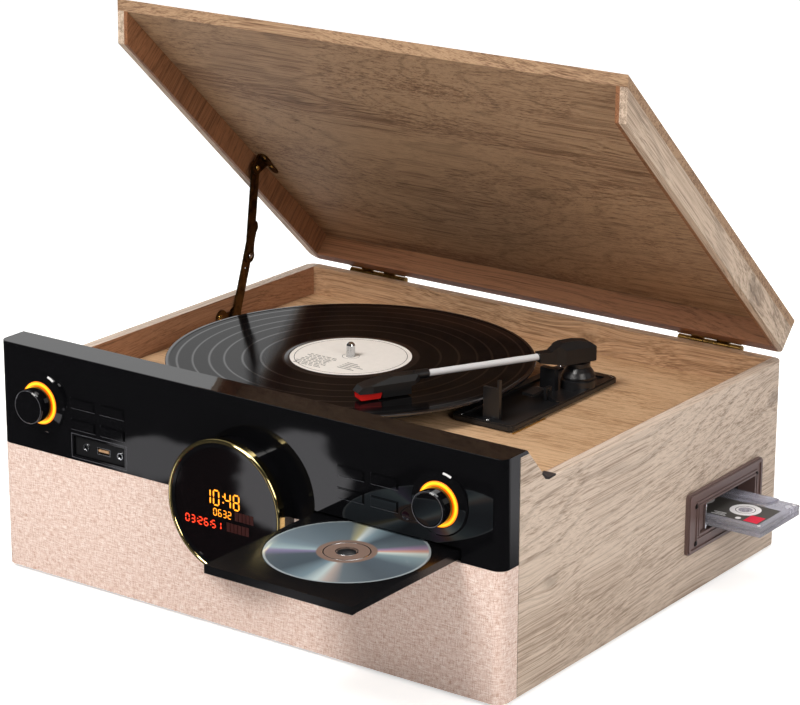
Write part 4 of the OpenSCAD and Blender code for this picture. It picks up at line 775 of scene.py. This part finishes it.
# ---- record label and centre
def make_label():
    """Cream paper label with two ruled rings, and short bars that stand for print."""
    top = high("record").z
    bm = bmesh.new()
    centre = (SPINDLE[0], SPINDLE[1], top)
    for inner, outer, index, up in ((3.8, 49.8, 0, 0.12), (45.8, 46.3, 1, 0.16), (6.8, 7.2, 1, 0.16)):
        made = bmesh.ops.create_circle(bm, cap_ends=False, segments=96, radius=outer)["verts"]
        inside = bmesh.ops.create_circle(bm, cap_ends=False, segments=96, radius=inner)["verts"]
        edges = list({e for v in made + inside for e in v.link_edges})
        for face in bmesh.ops.bridge_loops(bm, edges=edges)["faces"]:
            face.material_index = index
        bmesh.ops.translate(bm, vec=(centre[0], centre[1], centre[2] + up), verts=made + inside)
    rng = random.Random(7)
    for row in range(9):
        y = SPINDLE[1] - 14 - row * 3.1
        x = SPINDLE[0] - 30 + rng.uniform(-2, 3)
        while x < SPINDLE[0] - 6:
            width = rng.uniform(2.5, 7)
            add_block(bm, (x, y, top + 0.12), (x + width, y + 0.9, top + 0.16))
            x += width + 1.4
    for row in range(5):
        y = SPINDLE[1] - 16 - row * 3.4
        add_block(bm, (SPINDLE[0] + 8, y, top + 0.12), (SPINDLE[0] + 8 + rng.uniform(9, 24), y + 0.9, top + 0.16))
    for face in bm.faces:
        if face.material_index == 0 and abs(face.calc_center_median().z - (top + 0.12)) > 1e-4:
            face.material_index = 1
    make_piece("record_label", bm, "platter_unit", LABEL_PAPER, DARK_INK, clean=False)


make_label()

# ---- turned shapes, wires and small trim
def add_turned(bm, profile, centre, axis, steps=40, index=0):
    """A turned shape: (radius, height) points spun about an axis through centre."""
    old = set(bm.verts)
    chain = [bm.verts.new((r, 0, h)) for r, h in profile]
    edges = [bm.edges.new(pair) for pair in zip(chain, chain[1:])]
    bmesh.ops.spin(bm, geom=chain + edges, cent=(0, 0, 0), axis=(0, 0, 1), angle=2 * math.pi, steps=steps,
                   use_merge=True, use_duplicate=False)
    made = [v for v in bm.verts if v not in old]
    for face in {f for v in made for f in v.link_faces}:
        face.material_index = index
    bmesh.ops.rotate(bm, matrix=Vector(axis).to_track_quat("Z", "Y").to_matrix(), verts=made)
    bmesh.ops.translate(bm, vec=centre, verts=made)


def add_prism(bm, outline, low_end, high_end, axis="x", index=0, edge=0.0):
    """A flat outline drawn out along x or z; its points are (y, z), or (x, y)."""
    place = (lambda a, b, c: (c, a, b)) if axis == "x" else (lambda a, b, c: (a, b, c))
    face = bm.faces.new([bm.verts.new(place(a, b, low_end)) for a, b in outline])
    grown = bmesh.ops.extrude_face_region(bm, geom=[face])["geom"]
    top = [v for v in grown if isinstance(v, bmesh.types.BMVert)]
    way = (high_end - low_end, 0, 0) if axis == "x" else (0, 0, high_end - low_end)
    bmesh.ops.translate(bm, vec=way, verts=top)
    whole = set(top) | set(face.verts)
    if edge:
        rim = list({e for v in whole for e in v.link_edges})
        bmesh.ops.bevel(bm, geom=rim, offset=edge, offset_type="OFFSET", segments=2, profile=0.5,
                        affect="EDGES", material=-1)
    for part in {f for v in whole if v.is_valid for f in v.link_faces}:
        part.material_index = index


def make_wire(name, points, radius, body, material):
    """A round wire along control points in millimetres."""
    data = bpy.data.curves.new(name, "CURVE")
    data.dimensions = "3D"
    data.bevel_depth = radius * MM
    data.bevel_resolution = 3
    data.use_fill_caps = True
    line = data.splines.new("NURBS")
    line.points.add(len(points) - 1)
    for spot, place in zip(line.points, points):
        spot.co = (*at(*place), 1)
    line.use_endpoint_u = True
    line.order_u = 3
    data.materials.append(material)
    piece = bpy.data.objects.new(name, data)
    bpy.context.scene.collection.objects.link(piece)
    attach(piece, body)


RIVET = [(0, 0.9), (1.0, 0.8), (1.8, 0.45), (2.2, 0.0)]
PIVOT = (110.8, 279.2)
ARM = (math.cos(math.radians(-118.4)), math.sin(math.radians(-118.4)))


def arm_point(t, n, z):
    """A point t along the tonearm, n to its right as seen by the photograph, at height z."""
    return (PIVOT[0] + ARM[0] * t - ARM[1] * n, PIVOT[1] + ARM[1] * t + ARM[0] * n, z)


def make_fixings():
    """Screws and rivets; each rides with the body that it holds."""
    bm = bmesh.new()
    for y, z in ((246.2, 73.2), (341.5, 73.2), (246.2, 42.2), (341.5, 42.2)):
        add_screw(bm, (242.85, y, z), (1, 0, 0), 2.3, 35)
    make_piece("bezel_screws", bm, "cabinet", DARK_STEEL_AND_RECESS_SHADE, DARK_PAD_AND_RECESS_SHADE, clean=False)
    bm = bmesh.new()
    add_screw(bm, (-228.85, 240.5, 143.2), (1, 0, 0), 2.5, 20)
    for x in (-169, 169):
        for step in (-22, 0, 22):
            add_screw(bm, (x + step, 385.15, 146.5), (0, 1, 0), 2.2, step)
    make_piece("hinge_screws_lower", bm, "cabinet", PULLEY_BRASS, DARK_STEEL_AND_RECESS_SHADE, clean=False)
    bm = bmesh.new()
    back = Vector(lid_point(0, 1, 0)) - Vector(lid_point(0, 0, 0))
    down = Vector(lid_point(0, 0, -1)) - Vector(lid_point(0, 0, 0))
    for x in (-169, 169):
        for step in (-22, 0, 22):
            add_screw(bm, lid_point(x + step, 385.15, 168), back, 2.2, step)
    for x, y in ((-220.6, 251.5), (-220.2, 237)):
        add_screw(bm, lid_point(x, y, 177.85), down, 2.3, 15)
    add_turned(bm, RIVET, (-222.9, 287.3, 267.3), (1, 0, 0), 24)
    make_piece("hinge_screws_upper", bm, "lid", PULLEY_BRASS, DARK_STEEL_AND_RECESS_SHADE, clean=False)
    bm = bmesh.new()
    add_turned(bm, RIVET, (-224.25, 277.4, 190.6), (1, 0, 0), 24)
    make_piece("stay_elbow_rivet", bm, "stay_upper", STEEL)
    bm = bmesh.new()
    add_turned(bm, [(r * 0.8, h * 0.7) for r, h in RIVET], (-226.92, 285.2, 213.4), (1, 0, 0), 24)
    make_piece("stay_tail_rivet", bm, "stay_lower", STEEL)
    bm = bmesh.new()
    side = Vector((-ARM[1], ARM[0], 0))
    add_screw(bm, arm_point(4.6, 7.3, 165.4), side, 1.5, 10)
    add_screw(bm, arm_point(4.6, -7.3, 165.4), -side, 1.5, 10)
    make_piece("arm_pivot_screws", bm, "arm_lift", STEEL, DARK_STEEL_AND_RECESS_SHADE, clean=False)
    bm = bmesh.new()
    for x, y in ((76, 163.4), (101, 163.4), (73, 312.4), (121, 312.4)):
        add_screw(bm, (x, y, 138.95), (0, 0, 1), 1.9, 30)
    add_turned(bm, [(1.9, 0), (1.9, 0.25), (3.2, 0.25), (3.2, 0)], (94.2, 243.8, 142.4), (0, 0, 1), 32)
    make_piece("arm_base_screws", bm, "cabinet", STEEL, DARK_STEEL_AND_RECESS_SHADE, clean=False)


make_fixings()


def make_pads():
    """Rubber buffers in both side panels' notch, where the lid's slanted front comes down."""
    bm = bmesh.new()
    outline = [(27.4, 163.6), (28.7, 164.7), (35.4, 158.8), (46.2, 158.7), (45.8, 157.4), (37, 156.9), (32.4, 158.4)]
    for low_end, high_end in ((229.9, 240.12), (-240.12, -229.9)):
        add_prism(bm, outline, low_end, high_end, edge=0.15)
    make_piece("rim_buffers", bm, "cabinet", DARK_PAD_AND_RECESS_SHADE)


make_pads()


def make_front_trim():
    """Thin light grey strips along the buttons' slots and the socket recess, painted highlights of their edges; the USB
    tongue, the socket rings and the sensor window.
    """
    y = FACE_Y - 0.04
    bm = bmesh.new()
    for x in (-153, -123, 106, 136.5):
        for z in (150, 132.6):
            add_block(bm, (x - 12.1, y - 0.02, z - 4.75), (x + 12.1, -20.9, z - 4.35), 0.05)
            add_block(bm, (x - 12.45, y - 0.02, z - 4.6), (x - 12.15, -20.9, z + 4.2), 0.05)
    for z in (105.0, 124.6):
        add_block(bm, (-165.6, y - 0.02, z), (-109.4, -20.9, z + 0.4), 0.05)
    for x in (-165.8, -109.6):
        add_block(bm, (x, y - 0.02, 105.0), (x + 0.4, -20.9, 125.0), 0.05)
    make_piece("slot_edge_painted_highlights", bm, "cabinet", EDGE_HIGHLIGHT_GREY)
    bm = bmesh.new()
    add_block(bm, (-139.2, -19.6, 114.2), (-128.8, -14.8, 116.2), 0.2)
    make_piece("usb_tongue", bm, "cabinet", TONGUE_BROWN)
    bm = bmesh.new()
    for x in (-152, -117):
        add_turned(bm, [(3.2, 0.0), (3.2, 0.5), (2.9, 0.7), (2.1, 0.7), (1.85, 0.4), (1.85, 0.0)], (x, -19.35, 115),
                   (0, -1, 0), 32)
    make_piece("socket_rings", bm, "cabinet", STEEL)
    bm = bmesh.new()
    add_turned(bm, [(0, 0.75), (1.6, 0.62), (2.9, 0.25), (3.4, 0.0)], (155.4, -20.98, 127.7), (0, -1, 0), 32)
    make_piece("sensor_window", bm, "cabinet", SENSOR_LENS)


make_front_trim()


def make_knob_trim():
    """A fine light grey line round each cap: a painted highlight of its edge."""
    for name, x in KNOB_X.items():
        bm = bmesh.new()
        add_turned(bm, [(13.05, -0.05), (13.25, 0.08), (13.5, -0.05)], (x, -37, KNOB_Z), (0, -1, 0), 64)
        make_piece(f"{name}_rim", bm, name, EDGE_HIGHLIGHT_GREY)


make_knob_trim()


def make_tonearm_trim():
    """Four signal wires under the headshell, and a thin pale brass line along the lower right edge of the arm's base.
    """
    tube_z = 167.3
    for index, (side, drop) in enumerate(((-2.2, -7.0), (-0.8, -8.2), (0.8, -8.0), (2.2, -7.2))):
        path = [arm_point(150, side, tube_z - 4.5), arm_point(155, side * 1.3, tube_z + drop),
                arm_point(161, side * 1.4, tube_z + drop - 1.8), arm_point(167, side, tube_z - 7.2)]
        make_wire(f"signal_wire_{index + 1}", path, 0.35, "arm_lift",
                  (CORD_GREY, RED_PLASTIC, CORD_GREY, GOLD)[index])
    # a thin pale brass line along the lower right edge of the arm's base
    make_wire("pale_line_under_arm_base", [(127.2, 159.8, 133.7), (127.3, 172, 133.65), (127.3, 190, 133.65), (127.2, 205, 133.7)],
              0.6, "cabinet", PULLEY_BRASS)


make_tonearm_trim()


# ---- cassette
def make_cassette():
    """Clear smoked shell of two halves with labels, hubs and wound tape inside."""
    node_low, node_high = low("cassette"), high("cassette")
    x0, x1, y0, y1, z0, z1 = node_low.x, node_high.x, node_low.y, node_high.y, 51.8, 60.5
    middle, hub_x, hub_y = (x0 + x1) / 2, 21.2, y0 + 28
    outline = [(x0, y0), (x1, y0), (x1, y1), (x0, y1)]
    bm = bmesh.new()
    for base, top in ((z0, (z0 + z1) / 2 - 0.1), ((z0 + z1) / 2 + 0.1, z1)):
        add_prism(bm, outline, base, top, "z", edge=0.7)
    # the thicker head end, above and below
    trapezoid = [(middle - 32, y1 - 0.7), (middle - 29, y1 - 13.8), (middle + 29, y1 - 13.8), (middle + 32, y1 - 0.7)]
    add_prism(bm, trapezoid, z1 - 0.2, z1 + 1.35, "z", edge=0.4)
    add_prism(bm, trapezoid, z0 - 1.35, z0 + 0.2, "z", edge=0.4)
    # ribs and corner posts that show through the shell
    for x in (middle + 34, middle + 40, x1 - 4):
        add_block(bm, (x, y1 - 12, z0 + 1.2), (x + 1.2, y1 - 2, z1 - 1.2), 0.2)
    shell = make_piece("cassette_shell", bm, "cassette", SMOKE)
    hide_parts("cassette")
    bm = bmesh.new()
    for side in (-1, 1):
        radius = 19.5 if side > 0 else 14
        add_turned(bm, [(11, 0), (11, 5.6), (radius, 5.6), (radius, 0), (11, 0)],
                   (middle + side * hub_x, hub_y, z0 + 1.5), (0, 0, 1), 48)
    make_piece("cassette_tape", bm, "cassette", TAPE_BROWN)
    bm = bmesh.new()
    for side in (-1, 1):
        centre = (middle + side * hub_x, hub_y, z0 + 0.4)
        add_turned(bm, [(4.9, 0), (4.9, 7.9), (6.0, 7.9), (6.4, 7.4), (10.8, 7.4), (10.8, 6.6), (6.4, 6.6),
                        (6.4, 0), (4.9, 0)], centre, (0, 0, 1), 40)
        for number in range(6):
            turn = Matrix.Rotation(math.radians(60 * number), 4, "Z")
            spot = turn @ Vector((4.1, 0, 0))
            add_block(bm, (centre[0] + spot.x - 0.6, centre[1] + spot.y - 0.6, centre[2] + 2),
                      (centre[0] + spot.x + 0.6, centre[1] + spot.y + 0.6, centre[2] + 7))
    make_piece("cassette_hubs", bm, "cassette", LABEL_WHITE)
    # labels on both faces: grey ground, white ring, red block, plain rules
    bm = bmesh.new()
    for face_z, sign in ((z1 + 0.05, 1), (z0 - 0.05, -1)):
        for inner, outer, index, rise in ((5.7, 12.6, 1, 0.06), (7.6, 8.2, 0, 0.09)):
            for side in (-1, 1):
                add_turned(bm, [(inner, 0), (inner, rise), (outer, rise), (outer, 0)],
                           (middle + side * hub_x, hub_y, face_z), (0, 0, sign), 48, index)
        base = face_z if sign > 0 else face_z - 0.05
        for left, right in ((x0 + 4, middle - 31), (middle - 11.5, middle + 11.5), (middle + 31, x1 - 5)):
            add_block(bm, (left, y0 + 5, base), (right, y0 + 42, base + 0.05))
        for low_y, high_y in ((y0 + 5, y0 + 17.5), (y0 + 38.5, y0 + 42)):
            add_block(bm, (x0 + 4, low_y, base), (x1 - 5, high_y, base + 0.04))
    red = [(x1 - 19, y0 + 6), (x1 - 6.5, y0 + 6), (x1 - 6.5, y0 + 20), (x1 - 19, y0 + 20)]
    add_prism(bm, red, z1 + 0.08, z1 + 0.16, "z", 2)
    for row, (start, length) in enumerate(((52, 13), (54, 9), (52, 11))):
        add_prism(bm, [(x0 + start, y0 + 7 + row * 2.4), (x0 + start + length, y0 + 7 + row * 2.4),
                       (x0 + start + length, y0 + 7.8 + row * 2.4), (x0 + start, y0 + 7.8 + row * 2.4)],
                  z1 + 0.08, z1 + 0.15, "z", 1)
    add_turned(bm, [(0, 0.12), (2.4, 0.12), (2.4, 0)], (x1 - 25, y0 + 9, z1 + 0.06), (0, 0, 1), 32, 1)
    make_piece("cassette_labels", bm, "cassette", LABEL_GREY, LABEL_WHITE, LABEL_RED, clean=False)
    bm = bmesh.new()
    for x in (middle - 44, middle + 44):
        add_turned(bm, [(0, 6.4), (2.6, 6.4), (2.6, 0), (0, 0)], (x, y1 - 8, z0 + 1.1), (0, 0, 1), 28)
    for x in (middle - 24, middle, middle + 24):
        add_turned(bm, [(0, 6.4), (1.2, 6.4), (1.2, 0), (0, 0)], (x, y1 - 6, z0 + 1.1), (0, 0, 1), 20)
    for x, y in ((x0 + 3.4, y0 + 3.4), (x1 - 3.4, y0 + 3.4), (x0 + 3.4, y1 - 3.4), (x1 - 3.4, y1 - 3.4)):
        add_screw(bm, (x, y, z1 - 0.05), (0, 0, 1), 1.3, 40)
    make_piece("cassette_rollers", bm, "cassette", LABEL_WHITE, DARK_STEEL_AND_RECESS_SHADE, clean=False)


make_cassette()


def make_clip():
    """The bright spring strip beside the eject button, bent in a zigzag."""
    bm = bmesh.new()
    outline = [(261.1, 49.6), (261.1, 69.5), (262.3, 70.6), (263.5, 69.2), (262.6, 64.5), (263.6, 60.8), (262.4, 56.5),
               (263.6, 52.6), (263.0, 49.6)]
    add_prism(bm, outline, 236.5, 242.6, edge=0.15)
    make_piece("eject_spring", bm, "cabinet", CHROME)


make_clip()


def make_disc_trim():
    """The disc's raised stacking ring, and the tray's sprung hub through its hole."""
    top = high("disc").z
    bm = bmesh.new()
    add_turned(bm, [(16.6, -0.05), (16.8, 0.12), (17.4, 0.12), (17.6, -0.05)], (DISC[0], DISC[1], top), (0, 0, 1), 72)
    add_turned(bm, [(7.5, -0.05), (7.5, 0.1), (8.3, 0.1), (8.4, -0.05)], (DISC[0], DISC[1], top), (0, 0, 1), 56)
    make_piece("disc_rings", bm, "tray_unit", CHROME)
    bm = bmesh.new()
    add_turned(bm, [(0, 0.9), (2.2, 0.8), (4.6, 0.2), (6.9, -0.4), (7.0, -1.2), (0, -1.2)], (DISC[0], DISC[1], top),
               (0, 0, 1), 48)
    make_piece("disc_hub", bm, "tray_unit", SATIN_BLACK)


make_disc_trim()


def make_rear_trim():
    """Coloured rings round the line sockets at the back."""
    bm = bmesh.new()
    for index, x in enumerate((-184, -168)):
        add_turned(bm, [(4.4, 0), (4.4, 0.9), (5.4, 0.9), (5.9, 0.5), (5.9, 0)], (x, 386.0, 60), (0, 1, 0), 40, index)
    make_piece("line_socket_rings", bm, "cabinet", SOCKET_WHITE, SOCKET_RED)


make_rear_trim()
